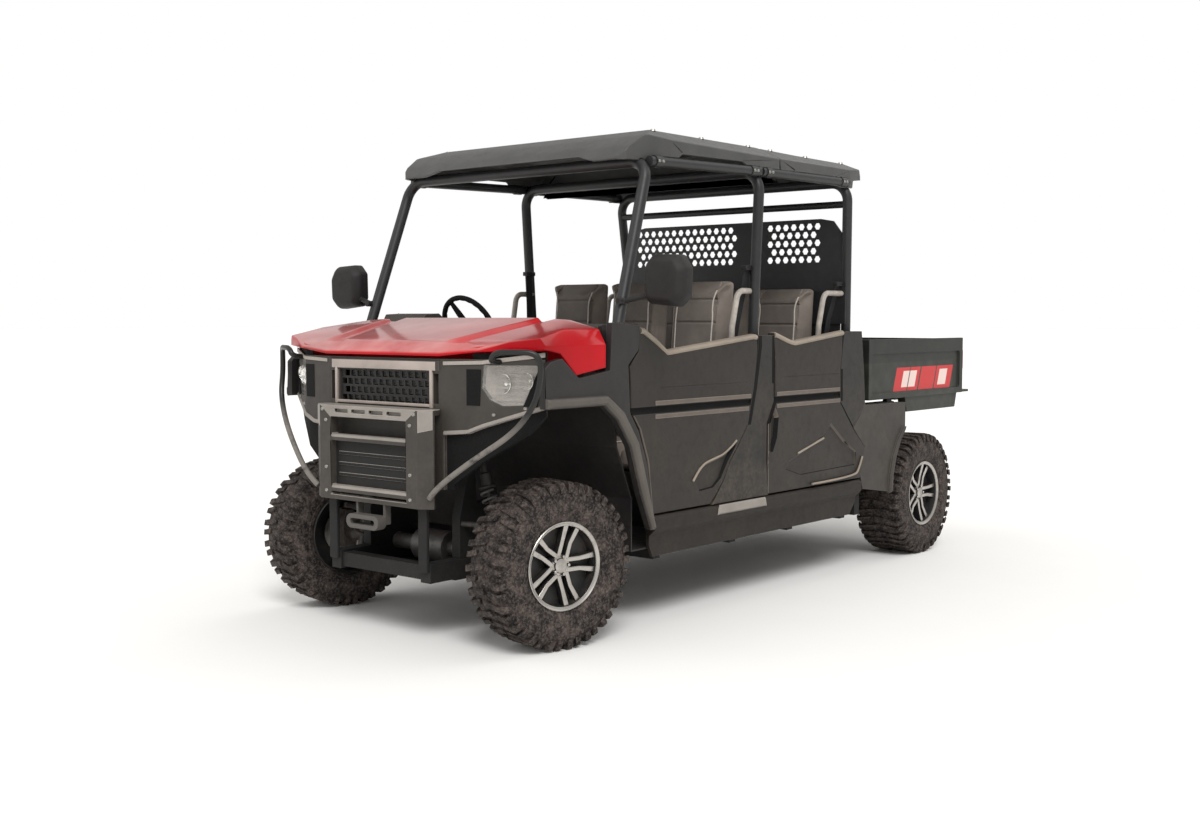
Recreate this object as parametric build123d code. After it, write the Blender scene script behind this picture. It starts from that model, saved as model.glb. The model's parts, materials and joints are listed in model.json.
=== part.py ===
from build123d import *
import math
import os

# Crew side by side utility vehicle. Millimetres, +Z up, front towards -Y, the vehicle's left towards +X.
# The origin is on the ground under the middle of the overall box.
# Stations run rearwards from the front axle.

# ---- driving dimensions ----
WHEELBASE = 3024
FRONT_AXLE_Y = -1630
FRONT_TRACK = 1346
REAR_TRACK = 1327
TYRE_RADIUS = 340
FRONT_TYRE_WIDTH = 229
REAR_TYRE_WIDTH = 272
STEER_REST = -11            # degrees about +Z, front wheels turned to the vehicle's right
STEER_RATIO = 8             # steering wheel turns per road wheel turn
STEER_ARM = 120             # kingpin to tie rod eye
RACK_Z = 387
KINGPIN_INSET = 73          # kingpin axis inboard of the wheel's middle plane

BODY_HALF = 800             # outer face of doors and posts
BODY_INNER = 752            # inner face of doors and posts

RAIL_X = (250, 310)         # chassis rail, inner and outer face
RAIL_Z = (255, 335)
FLOOR_Z = (335, 341)
FLOOR_STATIONS = (430, 2230)
CAB_HALF = 740

TUBE_R = 25                 # roll cage tube
HIP_TUBE_R = 14             # side restraint bar
SHAFT_R = 13                # half shaft between its boots
SPINDLE_R = 15
SHOCK_OFFSET = -48          # shock absorbers stand ahead of the half shafts
RAIL_FRONT = -330

SIDES = (1, -1)


# ---- helpers: outlines are (station, z), (x, station) or (x, z) ----
def st(station):
    return FRONT_AXLE_Y + station


def block(x0, x1, s0, s1, z0, z1):
    return Pos((x0 + x1) / 2, st((s0 + s1) / 2), (z0 + z1) / 2) * Box(x1 - x0, s1 - s0, z1 - z0)


def plate(points, plane, depth, direction, round_by=0, bevel=0):
    """A closed outline given thickness, with its corners rounded and its far edge chamfered if asked."""
    face = Polygon(*points, align=None)
    if round_by:
        face = fillet(face.vertices(), round_by)
    body = extrude(plane * face, depth - bevel, dir=direction)
    if bevel:
        far = plane.origin + Vector(*direction) * (depth - bevel)
        base = Plane(origin=far, x_dir=plane.x_dir, z_dir=plane.z_dir)
        body += extrude(base * face, bevel, dir=direction, taper=45)
    return body


def side_plate(outline, x0, x1, round_by=0, bevel=0):
    return plate([(st(s), z) for s, z in outline], Plane.YZ.offset(x0), x1 - x0, (1, 0, 0), round_by, bevel)


def plan_plate(outline, z0, z1, round_by=0, bevel=0):
    return plate([(x, st(s)) for x, s in outline], Plane.XY.offset(z0), z1 - z0, (0, 0, 1), round_by, bevel)


def front_plate(outline, s0, s1, round_by=0):
    plane = Plane(origin=(0, st(s0), 0), x_dir=(1, 0, 0), z_dir=(0, -1, 0))
    return plate(outline, plane, s1 - s0, (0, 1, 0), round_by)


def front_face(outline, s, round_by):
    """An outline (x, z) with rounded corners, as a face across the vehicle."""
    plane = Plane(origin=(0, st(s), 0), x_dir=(1, 0, 0), z_dir=(0, -1, 0))
    face = Polygon(*outline, align=None)
    return plane * fillet(face.vertices(), round_by)


def rod(start, end, radius):
    """A round bar between two points (x, station, z)."""
    path = Line((start[0], st(start[1]), start[2]), (end[0], st(end[1]), end[2]))
    return sweep(Plane(path @ 0, z_dir=path % 0) * Circle(radius), path=path)


def bent_tube(points, radius, bend):
    """A round tube along straight runs joined by arcs of one bend radius."""
    path = FilletPolyline(*[(x, st(s), z) for x, s, z in points], radius=bend)
    return sweep(Plane(path @ 0, z_dir=path % 0) * Circle(radius), path=path)


def barrel_x(radius, x0, x1, station, z):
    """A cylinder along X."""
    return Pos((x0 + x1) / 2, st(station), z) * Rot(0, 90, 0) * Cylinder(radius, x1 - x0)


def turned(profile, plane):
    """A turned piece: its half section is (radius, distance along the plane's normal)."""
    return plane * revolve(Plane.XZ * Polygon(*profile, align=None), Axis.Z)


def group(*shapes):
    """Separate solids kept side by side in one shape."""
    return Compound([solid for shape in shapes for solid in shape.solids()])


def largest(shape, count=1):
    """The biggest solids of a shape that was trimmed against its neighbours."""
    return group(*sorted(shape.solids(), key=lambda solid: solid.volume)[-count:])


def mirrored(shape):
    return mirror(shape, Plane.YZ)


def pair(shape):
    return shape + mirrored(shape)


def mirrored_outline(outline):
    """A left half outline, rows of x and one other value, closed over the middle plane."""
    return outline + [(-x, v) for x, v in reversed(outline)]


# ---- chassis ----
def chassis_rails():
    return pair(block(*RAIL_X, RAIL_FRONT, 3330, *RAIL_Z))


def frame_crossmembers():
    """Cross bars between the rails, outriggers to the sills, and the brackets of the rear fenders."""
    x_in, x_out = RAIL_X
    bars = [block(-x_in, x_in, s - 30, s + 30, 265, 325) for s in (-290, 340, 960, 1560, 2160, 2700, 3290)]
    outriggers = [pair(block(x_out, 745, s - 25, s + 25, 285, 335)) for s in (600, 1180, 1680, 2190)]
    bracket = block(x_out, 740, 2325, 2375, 285, 335) + block(722, 740, 2325, 2375, 335, 800)
    return group(*bars, *outriggers, pair(bracket))


def skid_plate():
    """Flat plate under the rails, turned up at the front between them."""
    upturn = side_plate([(-235, 290), (-192, 255), (-192, 250), (-239, 287)], -RAIL_X[0] + 4, RAIL_X[0] - 4)
    return block(-RAIL_X[1], RAIL_X[1], -192, 3330, RAIL_Z[0] - 5, RAIL_Z[0]) + upturn


def floor_pan():
    """Cabin floor, toe board and firewall in one bent sheet."""
    s0, s1 = FLOOR_STATIONS
    z0, z1 = FLOOR_Z
    profile = [(s1, z0), (s0, z0), (s0, 560), (330, 790), (300, 1080), (306, 1080),
               (336, 792), (s0 + 6, 562), (s0 + 6, z1), (s1, z1)]
    return side_plate(profile, -CAB_HALF, CAB_HALF)


def rear_bulkhead():
    s1 = FLOOR_STATIONS[1]
    return block(-700, 700, s1 - 8, s1, FLOOR_Z[1], 1440)


def rockers():
    """Sill mouldings with a step pad below the middle post."""
    profile = [(745, 300), (760, 300), (765, 392), (800, 425), (800, 470), (786, 483), (745, 483)]
    sill = front_plate(profile, 524, 2293)
    sill -= side_plate([(500, 290), (500, 400), (560, 290)], 740, 810)
    sill -= side_plate([(2320, 290), (2320, 400), (2230, 290)], 740, 810)
    pad = side_plate([(985, 440), (993, 484), (1372, 484), (1384, 440)], 790, 808, bevel=6)
    return pair(sill + pad)


# ---- roll cage ----
A_BASE = (775, 282, 1312)
A_TOP = (737, 544, 1998)
B_TOP = (754, 1377, 2018)
C_TOP = (755, 2194, 2026)


def hoop(points, bend):
    """A tube from the left foot over the top to the right foot."""
    left = list(points)
    right = [(-x, s, z) for x, s, z in reversed(points)]
    return bent_tube(left + right, TUBE_R, bend)


def cage_front_hoop():
    tube = hoop([(A_BASE[0], A_BASE[1], A_BASE[2] - 60), A_TOP], 90)
    return tube - block(-900, 900, 100, 400, 1200, A_BASE[2])


def cage_middle_hoop():
    tube = hoop([(712, 1389, 300), (712, 1389, 1230), B_TOP], 90)
    return tube - block(-900, 900, 1300, 1480, 200, FLOOR_Z[1])


def cage_rear_hoop():
    legs = hoop([(712, 2262, 300), (712, 2262, 1270), C_TOP], 90)
    cross = rod((-742, 2201, 1917), (742, 2201, 1917), 18)
    return legs + cross - block(-900, 900, 2200, 2330, 200, RAIL_Z[1])


def cage_side_rails(hoops):
    rails = []
    for side in SIDES:
        for start, end in ((A_TOP, B_TOP), (B_TOP, C_TOP)):
            a = (side * start[0], start[1] + 10, start[2])
            b = (side * end[0], end[1] - 10, end[2])
            rails.append(rod(a, b, TUBE_R - 3))
    return group(*[largest(rail - hoops) for rail in rails])


def hip_bars(hoops):
    """Side restraint beside the seats, from the middle and rear hoops down to the seat bases."""
    bars = []
    for hoop_s, knee_s, foot_s, base_z in ((1389, 1262, 1200, 600), (2262, 2040, 1975, 620)):
        knee = (knee_s * 0.4 + foot_s * 0.6, 1290)
        route = [(712, hoop_s, 1458), (712, knee_s, 1458), (706, *knee), (690, foot_s, base_z)]
        foot = block(675, 706, foot_s - 25, foot_s + 25, base_z - 60, base_z)
        bars.append(pair(largest(bent_tube(route, HIP_TUBE_R, 50) + foot - hoops)))
    return group(*bars)


# ---- roof ----
ROOF_EDGE_Z = 2000
ROOF_WALL = 14
ROOF_CHANNEL_DEPTH = 7


def shell_roof(plan, top, s_mid, channels):
    """Moulded roof piece: plan, side line and crowned section, hollow below, with sunk channels on top.

    plan rows are half width and station, top rows are station and height, and channels are
    (inner x, outer x, first station, last station).
    """
    def form(d):
        outline = mirrored_outline([(x - d, s + (d if s < s_mid else -d)) for x, s in plan])
        side = [(s + (d if s < s_mid else -d), z - d) for s, z in top]
        side = [(side[0][0], ROOF_EDGE_Z - d)] + side + [(side[-1][0], ROOF_EDGE_Z - d)]
        crown = mirrored_outline([(790 - d, ROOF_EDGE_Z - d), (790 - d, 2080 - d), (640 - d, 2150 - d),
                                  (300, 2172 - d)])
        return plan_plate(outline, 1980, 2200) & side_plate(side, -800, 800) & front_plate(crown, 300, 2500)

    shell = form(0) - form(ROOF_WALL)
    sunk = form(0) - form(ROOF_CHANNEL_DEPTH)
    for x0, x1, s0, s1 in channels:
        channel = [(x0, s0 + 30), (x1, s0), (x1, s1), (x0, s1 - 30)]
        shell -= pair(plan_plate(channel, 2100, 2200, round_by=12)) & sunk
    return shell


def roof_front(cage):
    """Front half of the roof, with a raked face that is raised a little between the pillars."""
    plan = [(655, 430), (690, 455), (745, 700), (770, 1526)]
    top = [(430, 2012), (470, 2060), (545, 2108), (677, 2150), (972, 2170), (1290, 2165), (1526, 2148)]
    channels = [(30, 170, 720, 1450), (230, 370, 720, 1450), (430, 570, 760, 1450)]
    shell = shell_roof(plan, top, 900, channels)
    scallop = side_plate([(690, 1980), (780, 2044), (1230, 2050), (1340, 1980)], 700, 800, round_by=20)
    shell -= front_plate([(-600, 1980), (-430, 2026), (430, 2026), (600, 1980)], 400, 500)
    return largest(shell - pair(scallop) - cage)


def roof_rear(cage):
    """Rear half of the roof, its skirt rising behind the last hoop."""
    plan = [(770, 1534), (765, 2200), (735, 2360)]
    top = [(1534, 2147), (1817, 2139), (2290, 2135), (2344, 2106), (2360, 2070)]
    channels = [(30, 170, 1600, 2230), (230, 370, 1600, 2230), (430, 570, 1600, 2210)]
    shell = shell_roof(plan, top, 1900, channels)
    scallop = side_plate([(1600, 1980), (1660, 2040), (2060, 2044), (2130, 1980)], 700, 800, round_by=20)
    tail = side_plate([(2232, 1980), (2248, 2040), (2400, 2056), (2400, 1980)], -800, 800)
    return largest(shell - pair(scallop) - tail - cage)


# ---- doors and posts: (station, z), left side ----
FRONT_DOOR = [(425, 1288), (455, 1284), (614, 1189), (1277, 1252), (1308, 1250), (1311, 1205),
              (1272, 1005), (1224, 834), (1143, 739), (1084, 677), (1037, 598), (969, 520), (940, 492),
              (520, 492), (471, 728), (416, 867), (356, 944), (349, 1130), (413, 1191)]
REAR_DOOR = [(1458, 1259), (1474, 1259), (1626, 1214), (2104, 1265), (2068, 1071), (2072, 898),
             (2208, 755), (2330, 653), (2298, 492), (1418, 492), (1402, 640), (1402, 830), (1458, 925)]
B_POST = [(1316, 1250), (1450, 1250), (1450, 928), (1393, 832), (1393, 640), (1409, 487), (950, 487),
          (980, 517), (1046, 594), (1093, 672), (1152, 734), (1232, 829), (1280, 1003), (1319, 1204)]
C_POST = [(2112, 1262), (2290, 1262), (2318, 1048), (2330, 905), (2288, 832), (2214, 763),
          (2080, 902), (2076, 1071)]
# pockets pressed into the doors: outline and depth
FRONT_POCKETS = [([(800, 610), (838, 668), (1046, 712), (1128, 776), (1128, 742), (1068, 680), (1018, 600),
                   (960, 560), (850, 552)], 16)]
REAR_POCKETS = [([(1546, 597), (1591, 640), (1793, 700), (1930, 760), (1980, 800), (2120, 700), (2240, 640),
                  (2240, 560), (1700, 552)], 12),
                ([(1412, 690), (1412, 840), (1460, 905), (1490, 860), (1476, 760), (1440, 690)], 20)]
FRONT_CREASE = (560, 1215, 1034)
REAR_CREASE = (1540, 2050, 1048)
BODY_SECTION = [(BODY_INNER, 480), (788, 480), (800, 700), (800, 925), (786, 934), (786, 946), (800, 955),
                (797, 1150), (786, 1300), (BODY_INNER, 1300)]


def body_panel(outline):
    """A side panel: its outline seen from the side, and the body's section seen from the front."""
    return side_plate(outline, BODY_INNER, BODY_HALF, bevel=5) & front_plate(BODY_SECTION, 200, 2500)


def door(outline, sunk, crease):
    """A body panel with its lower pocket and the line pressed in above the groove."""
    panel = body_panel(outline)
    for pocket, depth in sunk:
        panel -= sunk_pocket(pocket, depth)
    s0, s1, z = crease
    return panel - sunk_pocket([(s0, z - 5), (s1, z - 5), (s1, z + 5), (s0, z + 5)], 4)


def sunk_pocket(outline, depth):
    """The cutter of a pocket in the side: full size at the skin, with sloping walls."""
    face = Plane.YZ.offset(BODY_HALF + 4) * Polygon(*[(st(s), z) for s, z in outline], align=None)
    return extrude(face, depth + 4, dir=(-1, 0, 0), taper=30)


def body_posts():
    return group(*[pair(side_plate(outline, BODY_INNER, BODY_HALF - 6)) for outline in (B_POST, C_POST)])


# ---- front body ----
FRONT_PLAN = [(768, -143), (550, -270), (350, -300)]


def front_band(depth, z0, z1, proud=0):
    """The nose in plan: a band behind its outer face, which may stand proud."""
    outer = mirrored_outline([(x, s - proud) for x, s in FRONT_PLAN])
    inner = [(x * (1 - depth / 1600), s + depth) for x, s in outer]
    return plan_plate(outer + list(reversed(inner)), z0, z1)


ARCH_CUT = [(395, 600), (395, 660), (700, 872), (792, 985), (900, 985), (900, 600)]
GRILLE_OPENING = (280, 975, 1115)
TRIM_LINE = [(362, 862), (480, 872), (768, 975)]
LAMP_OUTLINE = [(555, 1145), (758, 1145), (728, 990), (620, 985), (575, 1010), (548, 1055)]


def front_fascia():
    """Nose moulding: grille, side slots and lamps cut through, and a proud trim edge."""
    half, z0, z1 = GRILLE_OPENING
    body = front_band(32, 640, 1168)
    body -= pair(front_plate(ARCH_CUT, -400, 0))
    body -= block(-half, half, -400, 0, z0, z1)
    body -= pair(block(302, 334, -400, -272, z0 + 8, z1 - 8))
    body -= pair(front_plate(LAMP_OUTLINE, -400, 0))
    below = pair(front_plate(TRIM_LINE + [(768, 600), (362, 600)], -400, 0))
    body -= front_band(14, 600, 1000) & below
    edge = TRIM_LINE + [(x, z + 13) for x, z in reversed(TRIM_LINE)]
    body += front_band(20, 800, 1000, proud=8) & pair(front_plate(edge, -400, 0))
    brow = mirrored_outline([(345, 1118), (345, 1160)])
    return body + (front_band(16, 1100, 1168, proud=7) & front_plate(brow, -400, 0))


def grille():
    half, z0, z1 = GRILLE_OPENING
    s0 = -290
    frame = block(-half, half, s0, s0 + 8, z0, z1)
    pitch = 2 * half / 14
    rows = 4
    height = (z1 - z0) / rows
    slots = [Pos(-half + (i + 0.5 + 0.5 * (j % 2)) * pitch, st(s0 + 4), z0 + (j + 0.5) * height)
             * Box(pitch - 8, 20, height - 9)
             for j in range(rows) for i in range(14 - j % 2)]
    return frame - group(*slots)


def headlamps():
    """Set-back lens bodies, each with two round reflector bezels."""
    lens = front_band(26, 900, 1168, proud=-5) & front_plate(LAMP_OUTLINE, -400, 0)
    for x, z, radius in ((618, 1078, 36), (700, 1090, 30)):
        nose = -270 + (x - 550) * (270 - 143) / (768 - 550)
        bezel = rod((x, nose - 1, z), (x, nose + 22, z), radius)
        lens += bezel - rod((x, nose - 2, z), (x, nose + 8, z), radius - 5)
    return pair(lens)


def front_bumper():
    """Moulded bumper: chamfered uprights, slotted top band, cross bars and a ribbed plate."""
    half, inner, face, back = 360, 236, -392, -345
    plan = mirrored_outline([(half, back), (half, face + 36), (half - 58, face)])
    frame = plan_plate(plan, 565, 965) - block(-inner, inner, face - 10, back + 10, 585, 915)
    for x in (-165, -55, 55, 165):
        frame -= block(x - 42, x + 42, face - 10, face + 18, 934, 950)
    section = [(face + 4, 0), (back - 5, 0), (back - 5, 28), (face + 12, 28), (face + 4, 16)]
    bars = [side_plate([(s, z + dz) for s, dz in section], -inner, inner) for z in (597, 814)]
    inset = block(-inner, inner, -360, -352, 624, 815)
    ribs = [block(-inner + 20, inner - 20, -364, -359, z, z + 12) for z in (665, 710, 755)]
    top = plan_plate([(-half, back), (half, back), (345, -301), (-345, -301)], 940, 965)
    brackets = pair(block(255, 305, back, RAIL_FRONT, 300, 640))
    return frame + bars + ribs + [inset, top, brackets]


def brush_guards(fascia, bumper):
    """A tube up each side of the nose, from the bumper's foot round the lamp to the brow above it."""
    route = [(350, -368, 612), (400, -385, 655), (560, -335, 775), (700, -270, 872), (776, -243, 985),
             (772, -243, 1110), (735, -262, 1195), (660, -285, 1200), (612, -290, 1157.5),
             (612, -232, 1157.5)]
    return pair(largest(bent_tube(route, 12, 24) - fascia - bumper))


def tow_loop():
    ring = Pos(0, st(-400), 490) * Rot(90, 0, 0) * (SlotOverall(200, 60))
    solid = extrude(ring, 24, both=True)
    hole = extrude(Pos(0, st(-400), 490) * Rot(90, 0, 0) * SlotOverall(150, 22), 30, both=True)
    stays = pair(block(78, 92, -376, -345, 480, 565))
    return solid - hole + stays


HOOD_VALLEY_X = 372
HOOD_VALLEY_RUN = (0.21, 0.955, 0.205)


def hood_form(d):
    """The hood's outer form, moved inwards by d: plan, side line, section and two valleys."""
    plan = mirrored_outline([(790 - d, 205 - d), (790 - d, -165 + d), (552 - d, -290 + d), (350, -318 + d)])
    side = [(-320 + d, 1178 - d), (-320 + d, 1192 - d), (-230, 1240 - d), (0, 1290 - d), (205 - d, 1332 - d),
            (205 - d, 1128 - d), (20, 1102 - d), (-75, 1190 - d), (-150, 1172 - d)]
    section = mirrored_outline([(790 - d, 1050 - d), (790 - d, 1222 - d), (752 - d, 1286 - d),
                                (600, 1322 - d), (300, 1340 - d)])
    form = plan_plate(plan, 1000, 1400) & side_plate(side, -800, 800) & front_plate(section, -400, 300)
    valley = [(HOOD_VALLEY_X + x, 1233 + z - d) for x, z in ((-75, 20), (-34, -14), (44, -14), (85, 20))]
    plane = Plane(origin=(0, st(-245), 0), x_dir=(1, 0, 0), z_dir=(0, -1, 0))
    cutter = extrude(plane * Polygon(*valley, align=None), 520, dir=HOOD_VALLEY_RUN)
    return form - pair(cutter)


def hood():
    return hood_form(0) - hood_form(10)


FENDER_SIDE = [(-178, 975), (172, 975), (255, 912), (341, 796), (412, 592), (484, 429), (516, 429),
               (508, 492), (461, 722), (404, 858), (346, 938), (334, 1135), (402, 1198), (414, 1300),
               (230, 1312), (216, 1116), (22, 1090), (-80, 1172), (-150, 1158), (-178, 1134)]
ARCH_LINER = [(-95, 960), (168, 960), (246, 900), (324, 790), (332, 797), (254, 908), (174, 972), (-95, 972)]


ARCH_FLARE = [(-176, 977), (173, 977), (257, 914), (343, 797), (414, 593), (486, 431), (512, 431),
              (458, 600), (388, 812), (292, 944), (188, 1014), (-176, 1014)]


def front_fenders(floor):
    """Outer skin with a proud flare round the wheel arch, an inner liner and the cowl end."""
    skin = side_plate(FENDER_SIDE, 772, 802) + side_plate(ARCH_FLARE, 790, 824, bevel=10)
    liner = side_plate(ARCH_LINER, 390, 772)
    cowl = block(745, 772, 230, 410, 1200, 1306)
    return pair(largest(skin + liner + cowl - floor))


def dashboard():
    """Dash moulding with a gauge pod, a glove box lid line and the steering column."""
    profile = [(232, 1100), (232, 1300), (420, 1306), (560, 1230), (590, 1120), (520, 1050), (320, 1084)]
    dash = side_plate(profile, -720, 720, round_by=12)
    pod_outline = [(300, 1296), (330, 1348), (420, 1352), (470, 1318), (520, 1240)]
    pod = side_plate(pod_outline, -700, -420, round_by=8)
    pod -= side_plate([(418, 1300), (430, 1344), (520, 1344), (540, 1225)], -676, -444)
    lid = side_plate([(556, 1216), (590, 1216), (600, 1130), (578, 1130)], 230, 640, bevel=8)
    centre = side_plate([(500, 1060), (540, 980), (600, 980), (600, 1120)], -110, 110)
    column = rod((-560, 480, 1150), (-560, 740, 1272), 24)
    return dash + pod + lid + centre + column


MIRROR_CENTRE = (992, 1482)
MIRROR_RIM = [(905, 1388), (1050, 1374), (1092, 1412), (1097, 1530), (1062, 1586), (930, 1592), (890, 1550),
              (887, 1430)]
MIRROR_TAPER = 0.78         # the nose's outline beside the rim's


def mirrors():
    """Left mirror: rounded shell, arm and clamp on the front pillar."""
    x0, z0 = MIRROR_CENTRE
    nose = [(x0 + (x - x0) * MIRROR_TAPER, z0 + (z - z0) * MIRROR_TAPER) for x, z in MIRROR_RIM]
    shell = front_plate(MIRROR_RIM, 335, 390, round_by=14)
    shell += loft([front_face(MIRROR_RIM, 335, 14), front_face(nose, 302, 10)])
    arm = rod((790, 318, 1400), (905, 348, 1425), 11)
    clamp = rod((785, 285, 1400), (785, 345, 1400), 14)
    return shell + arm + clamp


# ---- suspension and drive ----
LOWER_SPREAD = 110
UPPER_SPREAD = 145
# upright seen from the side, about the wheel centre: station and height
UPRIGHT_OUTLINE = [(-20, -106), (20, -106), (34, -50), (34, 50), (20, 106), (-20, 106), (-34, 50),
                   (-34, -50)]


def arm_set(x_in, x_out, station, z_in, z_out, radius, spread):
    """One wishbone: two tubes from the frame meeting at the ball joint."""
    a = rod((x_in, station - spread, z_in), (x_out, station, z_out), radius)
    b = rod((x_in, station + spread, z_in), (x_out, station, z_out), radius)
    cup = Pos(x_out, st(station), z_out) * Cylinder(19, 24)
    return a + b + cup


def front_arms(frame):
    x_king = FRONT_TRACK / 2 - KINGPIN_INSET
    lower = arm_set(RAIL_X[1] - 8, x_king, 0, 300, 204, 13, LOWER_SPREAD)
    upper = arm_set(RAIL_X[1] - 8, x_king, 0, 480, 467, 11, UPPER_SPREAD)
    return group(*[pair(largest(arm - frame)) for arm in (lower, upper)])


def rear_arms(frame):
    x_king = REAR_TRACK / 2 - KINGPIN_INSET - 12
    lower = arm_set(RAIL_X[1] - 8, x_king, WHEELBASE, 300, 222, 13, LOWER_SPREAD)
    upper = arm_set(RAIL_X[1] - 8, x_king, WHEELBASE, 480, 458, 11, UPPER_SPREAD)
    outline = [(WHEELBASE + s, TYRE_RADIUS + z) for s, z in UPRIGHT_OUTLINE]
    upright = side_plate(outline, x_king - 22, x_king + 22)
    spindle = barrel_x(SPINDLE_R, x_king + 22, REAR_TRACK / 2 + 30, WHEELBASE, TYRE_RADIUS)
    return pair(largest(lower + upper + upright + spindle - frame))


def half_shafts():
    """Half shafts with their boots; the front pair ends short of the steering axis."""
    rear_end = REAR_TRACK / 2 - KINGPIN_INSET - 34
    shafts = []
    for station, x_end in ((0, 552), (WHEELBASE, rear_end)):
        length = x_end - RAIL_X[1]
        profile = [(0, 0), (34, 0), (34, 18), (SHAFT_R + 5, 64), (SHAFT_R, 66), (SHAFT_R, length - 66),
                   (SHAFT_R + 5, length - 64), (34, length - 18), (34, length), (0, length)]
        plane = Plane(origin=(RAIL_X[1], st(station), TYRE_RADIUS), x_dir=(0, 1, 0), z_dir=(1, 0, 0))
        shafts.append(pair(turned(profile, plane)))
    return group(*shafts)


def final_drives():
    """Front and rear differential cases between the towers, with their input noses."""
    units = []
    for station, radius, nose in ((0, 70, 200), (WHEELBASE, 78, WHEELBASE - 150)):
        case = barrel_x(radius, -95, 95, station, TYRE_RADIUS)
        tubes = barrel_x(36, -RAIL_X[0], RAIL_X[0], station, TYRE_RADIUS)
        units.append(case + tubes + rod((0, station, TYRE_RADIUS), (0, nose, TYRE_RADIUS), 19))
    return group(*units)


def suspension_towers():
    """Front and rear bulkheads over the rails, and the tube that guides the steering rack."""
    half = UPPER_SPREAD + 12
    rack_s = STEER_ARM * math.cos(math.radians(STEER_REST))
    units = []
    for s, top in ((0, 800), (WHEELBASE, 780)):
        outline = [(s - half, RAIL_Z[1]), (s + half, RAIL_Z[1]), (s + half, 500), (s + 90, 530),
                   (s - 16, top), (s - 80, top), (s - half, 500)]
        window = [(s - 60, 560), (s + 20, 560), (s - 30, 700), (s - 66, 700)]
        units.append(pair(side_plate(outline, 256, 304) - side_plate(window, 240, 320, round_by=8)))
    guide = barrel_x(24, -RAIL_X[1], RAIL_X[1], rack_s, RACK_Z)
    front = units[0] + guide - barrel_x(14, -400, 400, rack_s, RACK_Z)
    return group(front, units[1])


def shock_absorbers(carriers):
    """Spring and damper units from the lower arms to the towers, leaning inwards."""
    seat, spring, body, shaft = 37, 33, 22, 13
    profile = [(0, 0), (17, 0), (17, 96), (seat, 98), (seat, 110), (spring, 111), (spring, 372), (seat, 373),
               (seat, 384), (body, 386), (body, 440), (shaft, 442), (shaft, 506), (0, 506)]
    units = []
    for station in (0, WHEELBASE):
        low = Vector(462, st(station + SHOCK_OFFSET), 262)
        high = Vector(318, st(station + SHOCK_OFFSET), 760)
        units.append(pair(largest(turned(profile, Plane(origin=low, z_dir=high - low)) - carriers)))
    return group(*units)


def engine_block():
    return block(-235, 235, 2420, 2860, RAIL_Z[1], 700)


def silencer():
    """Exhaust silencer between the rear posts, with its inlet pipe and tail pipe."""
    can = barrel_x(68, -190, 190, 3280, 600) + barrel_x(14, -RAIL_X[0], RAIL_X[0], 3280, 600)
    inlet = rod((120, 2864, 560), (120, 3250, 600), 22)
    tail = rod((-120, 3320, 600), (-120, 3480, 586), 20)
    return can + inlet + tail


# ---- wheels ----
TYRE_SIDES = 22
LUG_HEIGHT = 15
LUG_HALF = 20               # half the width of a lug round the tyre
LUG_SKEW = 15               # how far a lug's two ends are offset
LUG_END_R = 276             # where a lug ends on the sidewall
BEAD_R = 203
BORE_R = 186


def tyre(width):
    """Carcass of flat-sided rings, axle along X, with a long and a short slanted lug on each flat."""
    half = width / 2
    carcass_r = TYRE_RADIUS - LUG_HEIGHT
    flat = math.cos(math.pi / TYRE_SIDES)
    # x, radius to the flat
    rings = [(-half + 22, BEAD_R), (-half, 264), (-half + 34, carcass_r)]
    rings = rings + [(-x, r) for x, r in reversed(rings)]

    def ring(x, r):
        plane = Plane(origin=(x, 0, 0), x_dir=(0, 1, 0), z_dir=(1, 0, 0))
        return plane * RegularPolygon(r / flat, TYRE_SIDES, rotation=180 / TYRE_SIDES)

    body = loft([ring(x, r) for x, r in rings], ruled=True)
    body -= loft([ring(-half, BORE_R), ring(half, BORE_R)], ruled=True)

    def lug(x_in):
        """A lug from x_in to the shoulder: its section along the axle and its slanted plan."""
        foot = carcass_r - LUG_HEIGHT
        section = [(x_in, foot), (x_in, TYRE_RADIUS), (half - 14, TYRE_RADIUS), (half - 9, LUG_END_R),
                   (half - 17, LUG_END_R), (half - 40, foot)]
        across = Plane(origin=(0, -60, 0), x_dir=(1, 0, 0), z_dir=(0, -1, 0)) * Polygon(*section, align=None)
        plan = Polygon((x_in, LUG_SKEW - LUG_HALF), (half, -LUG_SKEW - LUG_HALF),
                       (half, LUG_HALF - LUG_SKEW), (x_in, LUG_HALF + LUG_SKEW), align=None)
        return extrude(across, 120, dir=(0, 1, 0)) & extrude(Plane.XY.offset(260) * plan, 100)

    long, short = lug(-16), lug(38)
    lugs = []
    for i in range(TYRE_SIDES):
        turn = Rot(i * 360 / TYRE_SIDES, 0, 0)
        right, left = (long, short) if i % 2 else (short, long)
        lugs += [turn * right, turn * mirror(left, Plane.YZ)]
    return body + lugs


# spoke prong seen from outside, a quarter of a pair: distance to the spoke line, radius
PRONG = [(3, 38), (19, 38), (38, 177), (15, 177)]


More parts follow.
